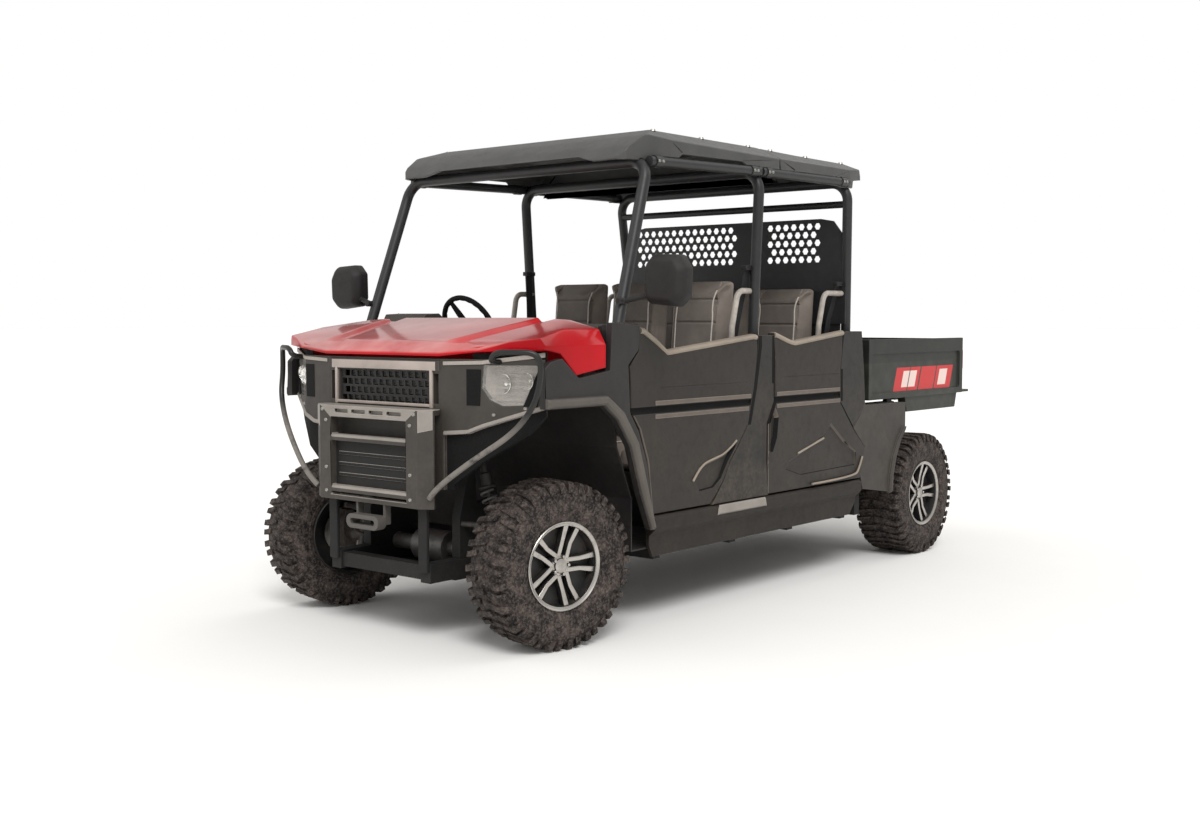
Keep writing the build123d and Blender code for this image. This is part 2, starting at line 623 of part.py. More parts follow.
def rim(width):
    """Barrel, hub with brake disc and five dished twin spokes, outer face towards +X."""
    half = width / 2
    face = half - 30
    lathe = Plane.XZ
    barrel = [(-half + 10, 196), (-half + 14, 198), (-half + 22, 184), (half - 22, 184), (half - 14, 198),
              (half - 8, 198), (half - 8, 190), (half - 16, 178), (-half + 16, 178), (-half + 10, 186)]
    hub = [(-36, 0), (-36, 100), (-31, 100), (-31, 52), (face - 12, 46), (face - 12, 30), (face - 3, 26),
           (face - 3, 0)]
    dish = [(face - 40, 0), (face - 12, 0), (face - 12, 44), (face + 4, 176), (face + 4, 190),
            (face - 24, 190), (face - 40, 60)]
    wheel = [revolve(lathe * Polygon(*profile, align=None), Axis.X) for profile in (barrel, hub, dish)]
    wheel_hub = wheel[1] - barrel_at_origin(SPINDLE_R + 0.4, -60, 33)
    prongs = []
    for k in range(5):
        for flip in (1, -1):
            outline = Polygon(*[(flip * y, z) for y, z in PRONG], align=None)
            prong = extrude(Plane.YZ.offset(face - 50) * outline, 70, dir=(1, 0, 0))
            prongs.append(Rot(k * 72, 0, 0) * prong)
    return wheel[0] + wheel_hub + [prong & wheel[2] for prong in prongs]


def barrel_at_origin(radius, x0, x1):
    return Pos((x0 + x1) / 2, 0, 0) * Rot(0, 90, 0) * Cylinder(radius, x1 - x0)


def knuckle():
    """Left front knuckle in the wheel's own frame: upright, spindle, steering arm and brake caliper."""
    x = -KINGPIN_INSET
    upright = extrude(Plane.YZ.offset(x - 22) * Polygon(*UPRIGHT_OUTLINE, align=None), 44, dir=(1, 0, 0))
    boss = barrel_at_origin(38, x + 22, x + 32)
    spindle = barrel_at_origin(SPINDLE_R, x + 22, 30)
    arm = Pos(x, 80, 20) * Box(30, 110, 18)
    caliper = Pos(-31.5, 0, 85) * Box(39, 76, 54) - Pos(-33.5, 0, 81) * Box(15, 80, 50)
    return upright + boss + spindle + arm + caliper


def place_front(side, shape):
    return Pos(side * FRONT_TRACK / 2, FRONT_AXLE_Y, TYRE_RADIUS) * shape


def kingpin_turn(side, shape):
    """Turns a shape given in the straight-ahead wheel frame by the steering angle about the kingpin."""
    x = side * (FRONT_TRACK / 2 - KINGPIN_INSET)
    return Pos(x, FRONT_AXLE_Y, 0) * Rot(0, 0, STEER_REST) * Pos(-x, -FRONT_AXLE_Y, 0) * shape


def front_corner(side, shape):
    shape = shape if side > 0 else mirrored(shape)
    return kingpin_turn(side, place_front(side, shape))


def rear_corner(side, shape):
    shape = shape if side > 0 else mirrored(shape)
    return Pos(side * REAR_TRACK / 2, st(WHEELBASE), TYRE_RADIUS) * shape


def steering_rack():
    """Rack bar with its tie rods, sliding across the vehicle."""
    turn = math.radians(STEER_REST)
    ends = []
    for side in SIDES:
        x = side * (FRONT_TRACK / 2 - KINGPIN_INSET) - STEER_ARM * math.sin(turn)
        ends.append((x, STEER_ARM * math.cos(turn), RACK_Z))
    bar = rod(ends[0], ends[1], 9)
    eyes = [Pos(x, st(s), z) * Cylinder(16, 24) for x, s, z in ends]
    return bar + eyes[0] + eyes[1]


def steering_wheel():
    """Rim ring, three spokes and hub about the column line, turned with the front wheels."""
    plane = Plane(origin=(-560, st(760), 1281), x_dir=(1, 0, 0), z_dir=(0, 0.906, 0.423))
    ring = revolve(Plane.XZ * Pos(165, 0) * RegularPolygon(15, 8, rotation=22.5), Axis.Z)
    hub = Cylinder(45, 30) + Pos(0, 0, 15) * Cylinder(34, 12)
    turn = STEER_REST * STEER_RATIO
    spoke = extrude(Plane.XY.offset(-5) * Polygon((30, -20), (158, -13), (158, 13), (30, 20), align=None), 10)
    spokes = [Rot(0, 0, angle + turn) * spoke for angle in (90, 210, 330)]
    return plane * (ring + hub + spokes)


# ---- seats ----
def seat_bases():
    front = block(-675, 675, 985, 1390, FLOOR_Z[1], 600)
    rear = block(-675, 675, 1830, 2200, FLOOR_Z[1], 620)
    return group(front, rear)


SEAT_COLUMNS = (-395, 0, 395)


def seat_cushions():
    rows = ((960, 1395, 600), (1800, 2170, 620))
    pads = [block(x - 190, x + 190, s0, s1, z, z + 120) for s0, s1, z in rows for x in SEAT_COLUMNS]
    return group(*pads)


def seat_backs():
    pads = []
    for s, z, top in ((1300, 722, 1525), (2040, 742, 1500)):
        outline = [(s, z), (s + 90, z), (s + 155, top), (s + 80, top), (s - 10, z + 200)]
        for x in SEAT_COLUMNS:
            pads.append(side_plate(outline, x - 190, x + 190))
    return group(*pads)


# ---- rear ----
REAR_SCREEN_S = 2217


def rear_screen(tubes):
    """Perforated screen behind the rear seats: a wide and a narrow window of staggered holes."""
    outline = mirrored_outline([(735, 1300), (735, 1660), (718, 1765), (662, 1836), (585, 1850)])
    panel = front_plate(outline, REAR_SCREEN_S - 3, REAR_SCREEN_S + 3)
    pitch_x, pitch_z, rows = 49, 43, 5
    across = Plane(origin=(0, 0, 0), x_dir=(1, 0, 0), z_dir=(0, -1, 0))
    hole = extrude(across * RegularPolygon(19, 6), 10, both=True)
    holes = []
    for x0, x1 in ((-650, 83), (246, 607)):
        for row in range(rows):
            shift = pitch_x / 2 * (row % 2)
            for column in range(int((x1 - x0 - shift) / pitch_x)):
                x = x0 + shift + pitch_x * (column + 0.5)
                holes.append(Pos(x, st(REAR_SCREEN_S), 1640 + row * pitch_z) * hole)
    return panel - group(*holes) - tubes


BED_HINGE = (3500, 850)
HINGE_PIN_R = 9


def cargo_bed():
    """Open-backed tub: top rail, set-in sides, sill, end posts, rear lip and the bored hinge lugs."""
    x0, s0, s1, z0, z1 = 755, 2440, 3570, 890, 1215
    wall = 28
    tub = block(-x0, x0, s0, s1, z0, z1) - block(-x0 + wall, x0 - wall, s0 + wall, s1 + 50, z0 + 14, z1 + 50)
    sunk = [(s0 + 34, z0 + 34), (s1 - 40, z0 + 34), (s1 - 40, 1138), (s0 + 34, 1138)]
    tub -= pair(side_plate(sunk, x0 - 12, x0 + 5, round_by=16))
    front_sunk = [(-x0 + 60, z0 + 40), (x0 - 60, z0 + 40), (x0 - 60, 1138), (-x0 + 60, 1138)]
    tub -= front_plate(front_sunk, s0 - 5, s0 + 10, round_by=16)
    bead = block(-x0 + 90, x0 - 90, s0 + 2, s0 + 12, 1030, 1050)
    lip = block(-740, 740, s1, 3684, z0, z0 + 14)
    skirt = [(2880, z0), (2905, 806), (3505, 806), (3530, z0)]
    tub += pair(side_plate(skirt, 690, 738))
    lug = side_plate([(BED_HINGE[0] - 34, z0), (BED_HINGE[0] - 16, 832), (BED_HINGE[0] + 16, 832),
                      (BED_HINGE[0] + 34, z0)], 330, 360)
    return tub + bead + lip + pair(lug - barrel_x(HINGE_PIN_R + 0.5, 320, 370, *BED_HINGE))


def tailgate():
    """Gate with two pressed panels and a latch recess outside."""
    gate = block(-720, 720, 3545, 3569, 910, 1210)
    for x0, x1 in ((-680, -110), (110, 680)):
        gate -= front_plate([(x0, 945), (x1, 945), (x1, 1150), (x0, 1150)], 3562, 3575, round_by=14)
    return gate - front_plate([(-70, 1110), (70, 1110), (80, 1170), (-80, 1170)], 3556, 3575, round_by=10)


def bed_subframe():
    """Rails and posts that carry the bed, with the rear hinge pins."""
    rail = block(*RAIL_X, 2300, 3560, 780, 820)
    posts = block(*RAIL_X, 3240, 3320, RAIL_Z[1], 780) + block(*RAIL_X, 2300, 2350, RAIL_Z[1], 780)
    ear = block(280, RAIL_X[1], BED_HINGE[0] - 30, BED_HINGE[0] + 30, 820, 868)
    return pair(rail + posts + ear + barrel_x(HINGE_PIN_R, 300, 366, *BED_HINGE))


def hitch_receiver():
    """Square receiver tube on a cross bar between the rails, with its pin hole."""
    bar = block(-250, 250, 3335, 3385, 290, 330) + pair(block(250, 310, 3330, 3385, 290, 330))
    tube = block(-32, 32, 3300, 3500, 335, 399) - block(-25.4, 25.4, 3290, 3510, 341.6, 392.4)
    stand = block(-32, 32, 3335, 3385, 330, 341.6)
    pin = barrel_x(8, -40, 40, 3460, 367)
    return bar + tube + stand - pin


REAR_ARCH = [(2632, 385), (2640, 480), (2672, 580), (2722, 665), (2790, 735)]


def rear_fenders():
    """Panel between the rear door and the wheel, with a proud arch lip and a liner ahead of the tyre."""
    side = [(2337, 655), (2300, 500), (2325, 430)] + REAR_ARCH + [(2790, 868), (2345, 872), (2338, 900),
                                                                  (2296, 828), (2221, 758)]
    skin = side_plate(side, 740, 790)
    lip = REAR_ARCH + [(s - 34, z - 4) for s, z in reversed(REAR_ARCH)]
    liner = REAR_ARCH + [(s - 8, z + 2) for s, z in reversed(REAR_ARCH)]
    return pair(skin + side_plate(lip, 780, 808, bevel=8) + side_plate(liner, 520, 740))


def main():
    os.makedirs("parts", exist_ok=True)
    front = cage_front_hoop()
    middle = cage_middle_hoop()
    rear = cage_rear_hoop()
    hoops = group(front, middle, rear)
    rails = cage_side_rails(hoops)
    cage = group(front, middle, rear, rails)
    bars = hip_bars(hoops)
    floor = floor_pan()
    fascia = front_fascia()
    bumper = front_bumper()
    chassis = chassis_rails()
    towers = suspension_towers()
    frame = group(chassis, towers)
    arms_front = front_arms(frame)
    arms_rear = rear_arms(frame)
    nodes = {
        "chassis_rails": chassis,
        "frame_crossmembers": frame_crossmembers(),
        "skid_plate": skid_plate(),
        "floor_pan": floor,
        "rear_bulkhead": rear_bulkhead(),
        "rockers": rockers(),
        "cage_front_hoop": front,
        "cage_middle_hoop": middle,
        "cage_rear_hoop": rear,
        "cage_side_rails": rails,
        "hip_bars": bars,
        "roof_front": roof_front(cage),
        "roof_rear": roof_rear(cage),
        "body_posts": body_posts(),
        "front_fascia": fascia,
        "grille": grille(),
        "headlamps": headlamps(),
        "front_bumper": bumper,
        "brush_guards": brush_guards(fascia, bumper),
        "tow_loop": tow_loop(),
        "hood": hood(),
        "front_fenders": front_fenders(floor),
        "dashboard": dashboard(),
        "mirrors": pair(largest(mirrors() - front)),
        "front_arms": arms_front,
        "rear_arms": arms_rear,
        "suspension_towers": towers,
        "half_shafts": half_shafts(),
        "final_drives": final_drives(),
        "shock_absorbers": shock_absorbers(group(towers, arms_front, arms_rear)),
        "engine_block": engine_block(),
        "silencer": silencer(),
        "steering_rack": steering_rack(),
        "steering_wheel": steering_wheel(),
        "seat_bases": seat_bases(),
        "seat_cushions": seat_cushions(),
        "seat_backs": seat_backs(),
        "rear_screen": rear_screen(group(cage, bars)),
        "cargo_bed": cargo_bed(),
        "tailgate": tailgate(),
        "bed_subframe": bed_subframe(),
        "rear_fenders": rear_fenders(),
        "hitch_receiver": hitch_receiver(),
    }
    front_tyre = tyre(FRONT_TYRE_WIDTH)
    rear_tyre = tyre(REAR_TYRE_WIDTH)
    front_rim = rim(FRONT_TYRE_WIDTH)
    rear_rim = rim(REAR_TYRE_WIDTH)
    for side, name in zip(SIDES, ("left", "right")):
        nodes[f"knuckle_{name}"] = front_corner(side, knuckle())
        nodes[f"tyre_front_{name}"] = front_corner(side, front_tyre)
        nodes[f"rim_front_{name}"] = front_corner(side, front_rim)
        nodes[f"tyre_rear_{name}"] = rear_corner(side, rear_tyre)
        nodes[f"rim_rear_{name}"] = rear_corner(side, rear_rim)
        for place, outline, pockets, crease in (("front", FRONT_DOOR, FRONT_POCKETS, FRONT_CREASE),
                                                ("rear", REAR_DOOR, REAR_POCKETS, REAR_CREASE)):
            panel = door(outline, pockets, crease)
            nodes[f"door_{place}_{name}"] = panel if side > 0 else mirrored(panel)
    for name, shape in nodes.items():
        export_step(shape, f"parts/{name}.step")


main()
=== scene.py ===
import json
import math
from contextlib import contextmanager

import bpy
from mathutils import Matrix, Vector


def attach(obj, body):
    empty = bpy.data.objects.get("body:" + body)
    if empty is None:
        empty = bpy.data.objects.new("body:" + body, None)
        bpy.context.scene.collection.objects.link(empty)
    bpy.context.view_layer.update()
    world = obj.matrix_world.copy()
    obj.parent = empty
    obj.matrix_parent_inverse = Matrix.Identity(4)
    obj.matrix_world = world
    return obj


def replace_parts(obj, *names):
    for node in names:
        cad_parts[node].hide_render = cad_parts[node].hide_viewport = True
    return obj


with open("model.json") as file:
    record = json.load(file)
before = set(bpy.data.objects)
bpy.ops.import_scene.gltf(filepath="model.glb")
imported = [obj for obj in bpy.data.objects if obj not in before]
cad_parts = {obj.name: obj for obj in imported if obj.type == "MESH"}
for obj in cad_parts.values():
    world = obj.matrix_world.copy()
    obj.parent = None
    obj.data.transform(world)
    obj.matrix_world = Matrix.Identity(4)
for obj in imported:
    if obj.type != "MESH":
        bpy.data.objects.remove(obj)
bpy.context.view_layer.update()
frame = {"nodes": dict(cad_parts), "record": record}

# Crew side by side utility vehicle, dressed round its CAD frame. Metres, +Z up, front towards -Y,
# the vehicle's left towards +X. Stations run rearwards from the front axle.
FRONT_AXLE_Y = -1.63
WHEELBASE = 3.024
TYRE_RADIUS = 0.34
FRONT_TRACK = 1.346
REAR_TRACK = 1.327
FRONT_TYRE_WIDTH = 0.229
REAR_TYRE_WIDTH = 0.272
KINGPIN_INSET = 0.073
STEER_REST = math.radians(-11)
SIDES = (("left", 1), ("right", -1))
SMOOTH = math.radians(38)
ACROSS = Matrix.Diagonal((-1, 1, 1, 1))
STEER_RATIO = 8                      # of the steering wheel to the road wheels


def at(x, station, z):
    """A point from its station behind the front axle."""
    return Vector((x, FRONT_AXLE_Y + station, z))


# ---- materials ----
class Value:
    """An output of a material's nodes. Arithmetic on it adds Math nodes."""

    def __init__(self, finish, socket):
        self.finish = finish
        self.socket = socket

    def math(self, operation, a, b, clamp=False):
        settings = {"operation": operation, "use_clamp": clamp}
        return self.finish.node("ShaderNodeMath", settings, {0: a, 1: b})

    def __add__(self, other):
        return self.math("ADD", self, other)

    __radd__ = __add__

    def __sub__(self, other):
        return self.math("SUBTRACT", self, other)

    def __rsub__(self, other):
        return self.math("SUBTRACT", other, self)

    def __mul__(self, other):
        return self.math("MULTIPLY", self, other)

    __rmul__ = __mul__

    def above(self, level, soft):
        """0 below a level, 1 from level + soft."""
        return self.math("MULTIPLY", self - level, 1 / soft, clamp=True)

    def clamp(self):
        return self.math("MULTIPLY", self, 1, clamp=True)


class Finish:
    """A procedural material on Object coordinates."""

    def __init__(self, name, **constants):
        self.material = bpy.data.materials.new(name)
        self.material.use_nodes = True
        self.tree = self.material.node_tree
        self.shader = self.tree.nodes["Principled BSDF"]
        self.coords = self.node("ShaderNodeTexCoord", out="Object")
        for key, value in constants.items():
            self.shader.inputs[key.replace("_", " ")].default_value = value

    def node(self, kind, settings=(), inputs=(), out=0):
        made = self.tree.nodes.new(kind)
        for key, value in dict(settings).items():
            setattr(made, key, value)
        for key, value in dict(inputs).items():
            self.feed(made.inputs[key], value)
        return Value(self, made.outputs[out])

    def feed(self, socket, value):
        if isinstance(value, Value):
            self.tree.links.new(value.socket, socket)
        else:
            socket.default_value = value

    def mix(self, factor, a, b):
        """Between two colours."""
        return self.node("ShaderNodeMix", {"data_type": "RGBA"}, {0: factor, 6: a, 7: b}, 2)

    def noise(self, scale, detail=4, roughness=0.55):
        inputs = {"Vector": self.coords, "Scale": scale, "Detail": detail, "Roughness": roughness}
        return self.node("ShaderNodeTexNoise", (), inputs)

    def cells(self, scale):
        return self.node("ShaderNodeTexVoronoi", (), {"Vector": self.coords, "Scale": scale})

    def axis(self, name):
        """One Object coordinate."""
        return self.node("ShaderNodeSeparateXYZ", (), {0: self.coords}, name)

    def upward(self):
        """1 on faces that look up, 0 on walls."""
        normal = self.node("ShaderNodeNewGeometry", out="Normal")
        return self.node("ShaderNodeSeparateXYZ", (), {0: normal}, "Z")

    def edges(self, radius):
        """1 along outer edges, 0 elsewhere."""
        rounded = self.node("ShaderNodeBevel", {"samples": 4}, {"Radius": radius})
        flat = self.node("ShaderNodeNewGeometry", out="Normal")
        same = self.node("ShaderNodeVectorMath", {"operation": "DOT_PRODUCT"}, {0: rounded, 1: flat}, "Value")
        return ((1 - same) * 7).clamp()

    def put(self, **varying):
        for key, value in varying.items():
            self.feed(self.shader.inputs[key.replace("_", " ")], value)
        return self

    def bump(self, height, strength, distance):
        """Adds a bump and gives the finished material."""
        inputs = {"Height": height, "Strength": strength, "Distance": distance}
        return self.put(Normal=self.node("ShaderNodeBump", (), inputs)).material


def rgb(*levels):
    """A display colour, 0 to 255, as the linear colour that shaders take."""
    return tuple(c / 255 / 12.92 if c <= 10 else ((c / 255 + 0.055) / 1.055) ** 2.4 for c in levels) + (1,)


def shaded(colour, factor, lift=0):
    """A colour made darker or lighter."""
    return tuple(min(1, c * factor + lift) for c in colour[:3]) + (1,)


DUST = rgb(122, 108, 92)


def dusted(finish, base, amount, top=0.9):
    """Dust over a colour: thickest low on the vehicle and on upward faces."""
    low = 1 - finish.axis("Z").above(0.25, top)
    patches = finish.noise(3.5, 8, 0.65).above(0.38, 0.3)
    fine = finish.noise(60, 3, 0.6).above(0.3, 0.5)
    mask = ((low * 0.75 + finish.upward().clamp() * 0.35) * patches * fine * amount).clamp()
    return finish.mix(mask, base, DUST), mask


def moulded(name, colour, roughness=0.55, dust=0.6, grain=900, edge_wear_and_highlight=0.35):
    """Grained moulded plastic with dust, and edges painted lighter: partly rubbed wear, partly painted
    highlight.
    """
    finish = Finish(name, Specular_IOR_Level=0.4)
    base = finish.mix(finish.noise(7, 5, 0.6).above(0.35, 0.3), shaded(colour, 0.8), colour)
    # edges mixed towards a far lighter colour: partly wear, partly a painted highlight
    worn_and_lit_edges = finish.mix(finish.edges(0.006) * edge_wear_and_highlight, base, shaded(colour, 2.6, 0.06))
    cover, mask = dusted(finish, worn_and_lit_edges, dust)
    scuff = finish.noise(25, 6, 0.7).above(0.45, 0.25)
    finish.put(Base_Color=cover, Roughness=(roughness + scuff * 0.1 + mask * 0.25).clamp())
    return finish.bump(finish.cells(grain) + finish.noise(220, 2) * 0.4, 0.35, 0.0006)


def coated(name, colour, roughness=0.4, dust=0.35):
    """Powder coated steel: fine orange peel, worn and dusty places."""
    finish = Finish(name, Specular_IOR_Level=0.5)
    base = finish.mix(finish.noise(30).above(0.4, 0.3), colour, shaded(colour, 1.35))
    cover, mask = dusted(finish, base, dust, 0.7)
    finish.put(Base_Color=cover, Roughness=(roughness + finish.noise(90, 3) * 0.12 + mask * 0.3).clamp())
    return finish.bump(finish.noise(700, 2), 0.25, 0.0004)


def red_paint():
    """Moulded-in red under clear coat, with a pale film on its upward faces: a little dust, and mostly painted
    sheen, a painted reflection strongest inboard, at the nose and on the hood's crest.
    """
    finish = Finish("paint_red", Coat_Roughness=0.1, Specular_IOR_Level=0.16)
    bright, deep = rgb(196, 5, 22), rgb(150, 4, 15)
    base = finish.mix(finish.noise(1.6, 3).above(0.35, 0.35), deep, bright)
    # where the pale painted sheen is strongest: the nose, inboard, and the crest of the hood
    nose = 1 - finish.axis("Y").above(-1.88, 0.06)
    inboard = 1 - finish.axis("X").above(0.1, 0.35)
    crest_highlight = finish.axis("Y").above(-1.8, 0.08) * (1 - finish.axis("X").above(0.2, 0.15))
    top = finish.upward().clamp()
    # a thin film of dust everywhere (0.03); the rest is painted sheen
    cover = finish.noise(4, 5, 0.55).above(0.2, 0.5) * (0.03 + inboard * 0.2 + nose * 0.3 + crest_highlight * 0.14)
    dust_and_sheen = (top * cover).clamp()
    finish.put(Base_Color=finish.mix(dust_and_sheen, base, rgb(244, 214, 208)))
    finish.put(Coat_Weight=0.05 + top * 0.9)
    finish.put(Roughness=(0.26 + dust_and_sheen * 0.5 + finish.noise(140, 3) * 0.05).clamp())
    return finish.bump(finish.noise(260, 2), 0.06, 0.0005)


def rubber():
    """Tyre rubber, brown with dried mud between the lugs and in the sidewall."""
    finish = Finish("tyre_rubber_dusty", Specular_IOR_Level=0.25)
    black, brown = rgb(23, 21, 21), rgb(104, 93, 87)
    mud = finish.noise(20, 8, 0.7).above(0.44, 0.18)
    specks = finish.noise(90, 4, 0.7).above(0.48, 0.12)
    base = finish.mix((mud * 0.45 + specks * 0.42).clamp(), black, brown)
    finish.put(Base_Color=base, Roughness=(0.72 + mud * 0.2).clamp())
    return finish.bump(finish.noise(180, 5, 0.7) + mud * 0.6, 0.5, 0.0015)


def alloy(name, colour, metallic, roughness, dirt):
    """Wheel and machined metal with a fine turned grain and road dirt."""
    finish = Finish(name)
    grime = finish.noise(18, 7, 0.68).above(0.5, 0.2) * dirt
    finish.put(Base_Color=finish.mix(grime, colour, rgb(74, 64, 56)))
    finish.put(Metallic=(metallic * (1 - grime)) if metallic else 0.0)
    finish.put(Roughness=(roughness + finish.noise(400, 2) * 0.12 + grime * 0.4).clamp())
    return finish.bump(finish.noise(500, 2), 0.1, 0.0003)


def vinyl(name, colour):
    """Seat vinyl: pebbled grain, slightly worn and paler on the crown."""
    finish = Finish(name, Specular_IOR_Level=0.35)
    base = finish.mix(finish.noise(9, 5).above(0.4, 0.3), colour, shaded(colour, 1.3))
    base = finish.mix(finish.upward().clamp() * finish.noise(20, 6, 0.7).above(0.4, 0.3) * 0.3, base, DUST)
    finish.put(Base_Color=base, Roughness=0.5 + finish.noise(60, 3) * 0.18)
    return finish.bump(finish.cells(450) + finish.cells(450 * 2.3) * 0.5, 0.5, 0.0007)


def bed_skin():
    """Textured bed panel with a generic red and white band of slanted bars on each side."""
    finish = Finish("bed_textured_graphic", Specular_IOR_Level=0.4)
    base = finish.mix(finish.noise(12, 6).above(0.4, 0.3), rgb(38, 41, 36), rgb(54, 56, 50))
    y, z = finish.axis("Y"), finish.axis("Z")
    shade = (z.above(1.085, 0.004) + y.above(1.826, 0.004)).clamp() * 0.55
    cover, mask = dusted(finish, finish.mix(shade, base, rgb(22, 23, 21)), 0.35)
    slant = y - z * 0.35

    def band(value, low, high, soft=0.002):
        return value.above(low, soft) * (1 - value.above(high, soft))

    side = finish.axis("X").math("ABSOLUTE", finish.axis("X"), 0).above(0.735, 0.001)
    tall = band(z, 0.925, 1.055) * side
    red = band(slant, 0.775, 1.465) * tall
    white = (band(slant, 0.86, 1.02) + band(slant, 1.3, 1.4)) * band(z, 0.945, 1.035) * tall
    notch = (band(slant, 0.93, 0.94) + band(slant, 1.055, 1.07) + band(slant, 1.25, 1.262)).clamp()
    painted = finish.mix(red * (1 - notch) * 0.95, cover, rgb(196, 32, 34))
    painted = finish.mix(white.clamp() * (1 - notch) * 0.9, painted, rgb(232, 214, 206))
    finish.put(Base_Color=painted, Roughness=(0.5 + mask * 0.3 - red * 0.15).clamp())
    return finish.bump(finish.cells(520), 0.35, 0.0006)


def lens():
    """Clear polycarbonate lamp cover, slightly hazed."""
    finish = Finish("lamp_clear_cover", Coat_Weight=0.6, Coat_Roughness=0.04)
    haze = finish.noise(30, 5, 0.6).above(0.5, 0.3)
    finish.put(Base_Color=finish.mix(haze, rgb(226, 226, 222), rgb(206, 198, 188)))
    return finish.put(Roughness=0.05 + haze * 0.15, Alpha=0.1 + haze * 0.12).material


def guard_paint():
    """Black tube, painted light grey in mottled patches on its low run in front of the wheels: a painted
    highlight.
    """
    finish = Finish("steel_guard_black", Specular_IOR_Level=0.4)
    # light grey below z 0.86: painted highlight
    low_highlight = (1 - finish.axis("Z").above(0.86, 0.1)) * finish.noise(18, 5, 0.6).above(0.25, 0.2)
    finish.put(Base_Color=finish.mix(low_highlight, rgb(30, 30, 30), rgb(116, 111, 105)))
    finish.put(Roughness=(0.32 + low_highlight * 0.2 + finish.noise(90, 3) * 0.1).clamp())
    return finish.bump(finish.noise(700, 2), 0.25, 0.0004)


def plain(name, colour, roughness, metallic=0.0, scale=200, shine=0.5):
    """Small fittings: one finish with slight mottling."""
    finish = Finish(name, Metallic=metallic, Specular_IOR_Level=shine)
    mottling = finish.noise(scale, 3).above(0.4, 0.3)
    finish.put(Base_Color=finish.mix(mottling, colour, shaded(colour, 1.25, 0.004)))
    finish.put(Roughness=(roughness + finish.noise(scale * 1.7, 3) * 0.15).clamp())
    return finish.bump(finish.noise(scale * 3, 2), 0.15, 0.0004)


PLASTIC = moulded("plastic_dark", rgb(60, 56, 52), 0.55, 0.5)
DOOR = moulded("plastic_door", rgb(39, 34, 29), 0.5, 0.3)
EDGE_HIGHLIGHT = moulded("plastic_door_edge_highlight", rgb(102, 93, 84), 0.5, 0.3)
POST = moulded("plastic_post", rgb(36, 33, 30), 0.5, 1.2)
ROCKER = moulded("plastic_rocker", rgb(32, 25, 19), 0.6, 0.2)
FENDER = moulded("plastic_fender", rgb(40, 37, 37), 0.5, 0.4)
# lighter than the fender as the painted highlight along the arch lip
FLARE_HIGHLIT = moulded("plastic_flare_highlit", rgb(88, 83, 77), 0.5, 0.5)
# silver trim, also laid on edges and upward faces as painted highlight
TRIM_AND_HIGHLIGHT = moulded("plastic_trim_silver_and_highlight", rgb(146, 140, 133), 0.42, 0.4, 700, 0.2)
PALE = moulded("plastic_pale_edge", rgb(172, 160, 152), 0.42, 0.3, 700, 0.1)
INNER = moulded("plastic_inner", rgb(30, 28, 28), 0.6, 0.4)
ROOF = moulded("plastic_roof", rgb(74, 74, 73), 0.42, 0.25, 800, 0.3)
RED = red_paint()
FRAME = coated("steel_frame_black", rgb(30, 30, 31))
# light grey taken from the highlight lines along the hip bars: painted highlight
SATIN_HIGHLIT = coated("steel_satin_grey_highlit", rgb(158, 151, 143), 0.35)
GUARD = guard_paint()
SUSPENSION = coated("steel_suspension", rgb(44, 42, 41), 0.45, 0.9)
# black steel made darker still as painted shade under the vehicle; also laid on the bumper's feet and sunk
# plate as painted shade
UNDER_DARKENED = coated("steel_underbody_shade_darkened", rgb(12, 11, 11), 0.7, 0.12)
RUBBER = rubber()
MACHINED = alloy("alloy_machined", rgb(186, 182, 176), 1.0, 0.26, 0.35)
POCKET = alloy("alloy_dark_pockets", rgb(34, 33, 33), 0.0, 0.4, 0.5)
CAST = alloy("cast_aluminium", rgb(132, 130, 127), 0.8, 0.5, 0.6)
ZINC = plain("zinc_plated", rgb(168, 166, 160), 0.32, 1.0)
CHROME = plain("reflector_bright", rgb(226, 226, 222), 0.1, 1.0)
MIRROR = plain("mirror_silver", rgb(236, 238, 240), 0.02, 1.0, 20)
VINYL = vinyl("vinyl_grey", rgb(122, 113, 105))
PANEL = vinyl("vinyl_mid_grey", rgb(104, 97, 91))
PIPING = plain("piping_light", rgb(196, 188, 178), 0.5)
WEBBING = plain("belt_webbing", rgb(30, 29, 30), 0.75, 0.0, 900)
# black rubber, also laid as painted shade in door grooves, pockets, gaps and below the lamps
BLACK_AND_SHADE = plain("rubber_black_and_painted_shade", rgb(15, 14, 14), 0.75, shine=0.2)
BED = bed_skin()
LENS = lens()
TAIL = plain("lamp_red", rgb(150, 16, 18), 0.2)
MILKY = plain("lamp_light_strip", rgb(152, 145, 137), 0.4)
BACKING = plain("lamp_backing_pale", rgb(132, 124, 116), 0.4, 0.0, 45)
LOOP = plain("tow_loop_grey", rgb(78, 75, 71), 0.5)
SPRING = coated("spring_steel", rgb(92, 90, 88), 0.4, 0.8)
GLOSS = plain("black_gloss", rgb(14, 14, 15), 0.12)
# light beige on the door caps and pocket beads: painted highlight
CAPPING_HIGHLIT = moulded("plastic_door_cap_highlit", rgb(150, 138, 124), 0.5, 0.7, 700, 0.1)


# ---- modelling helpers ----
def deselect():
    if bpy.context.object and bpy.context.object.mode != "OBJECT":
        bpy.ops.object.mode_set(mode="OBJECT")
    bpy.ops.object.select_all(action="DESELECT")


def activate(*objects):
    deselect()
    for obj in objects:
        obj.select_set(True)
    bpy.context.view_layer.objects.active = objects[0]


def placed(name, data):
    """A new object in the scene."""
    obj = bpy.data.objects.new(name, data)
    bpy.context.scene.collection.objects.link(obj)
    return obj


def apply_place(obj):
    activate(obj)
    bpy.ops.object.transform_apply(location=True, rotation=True, scale=True)
    return obj


def leave():
    bpy.ops.object.mode_set(mode="OBJECT")


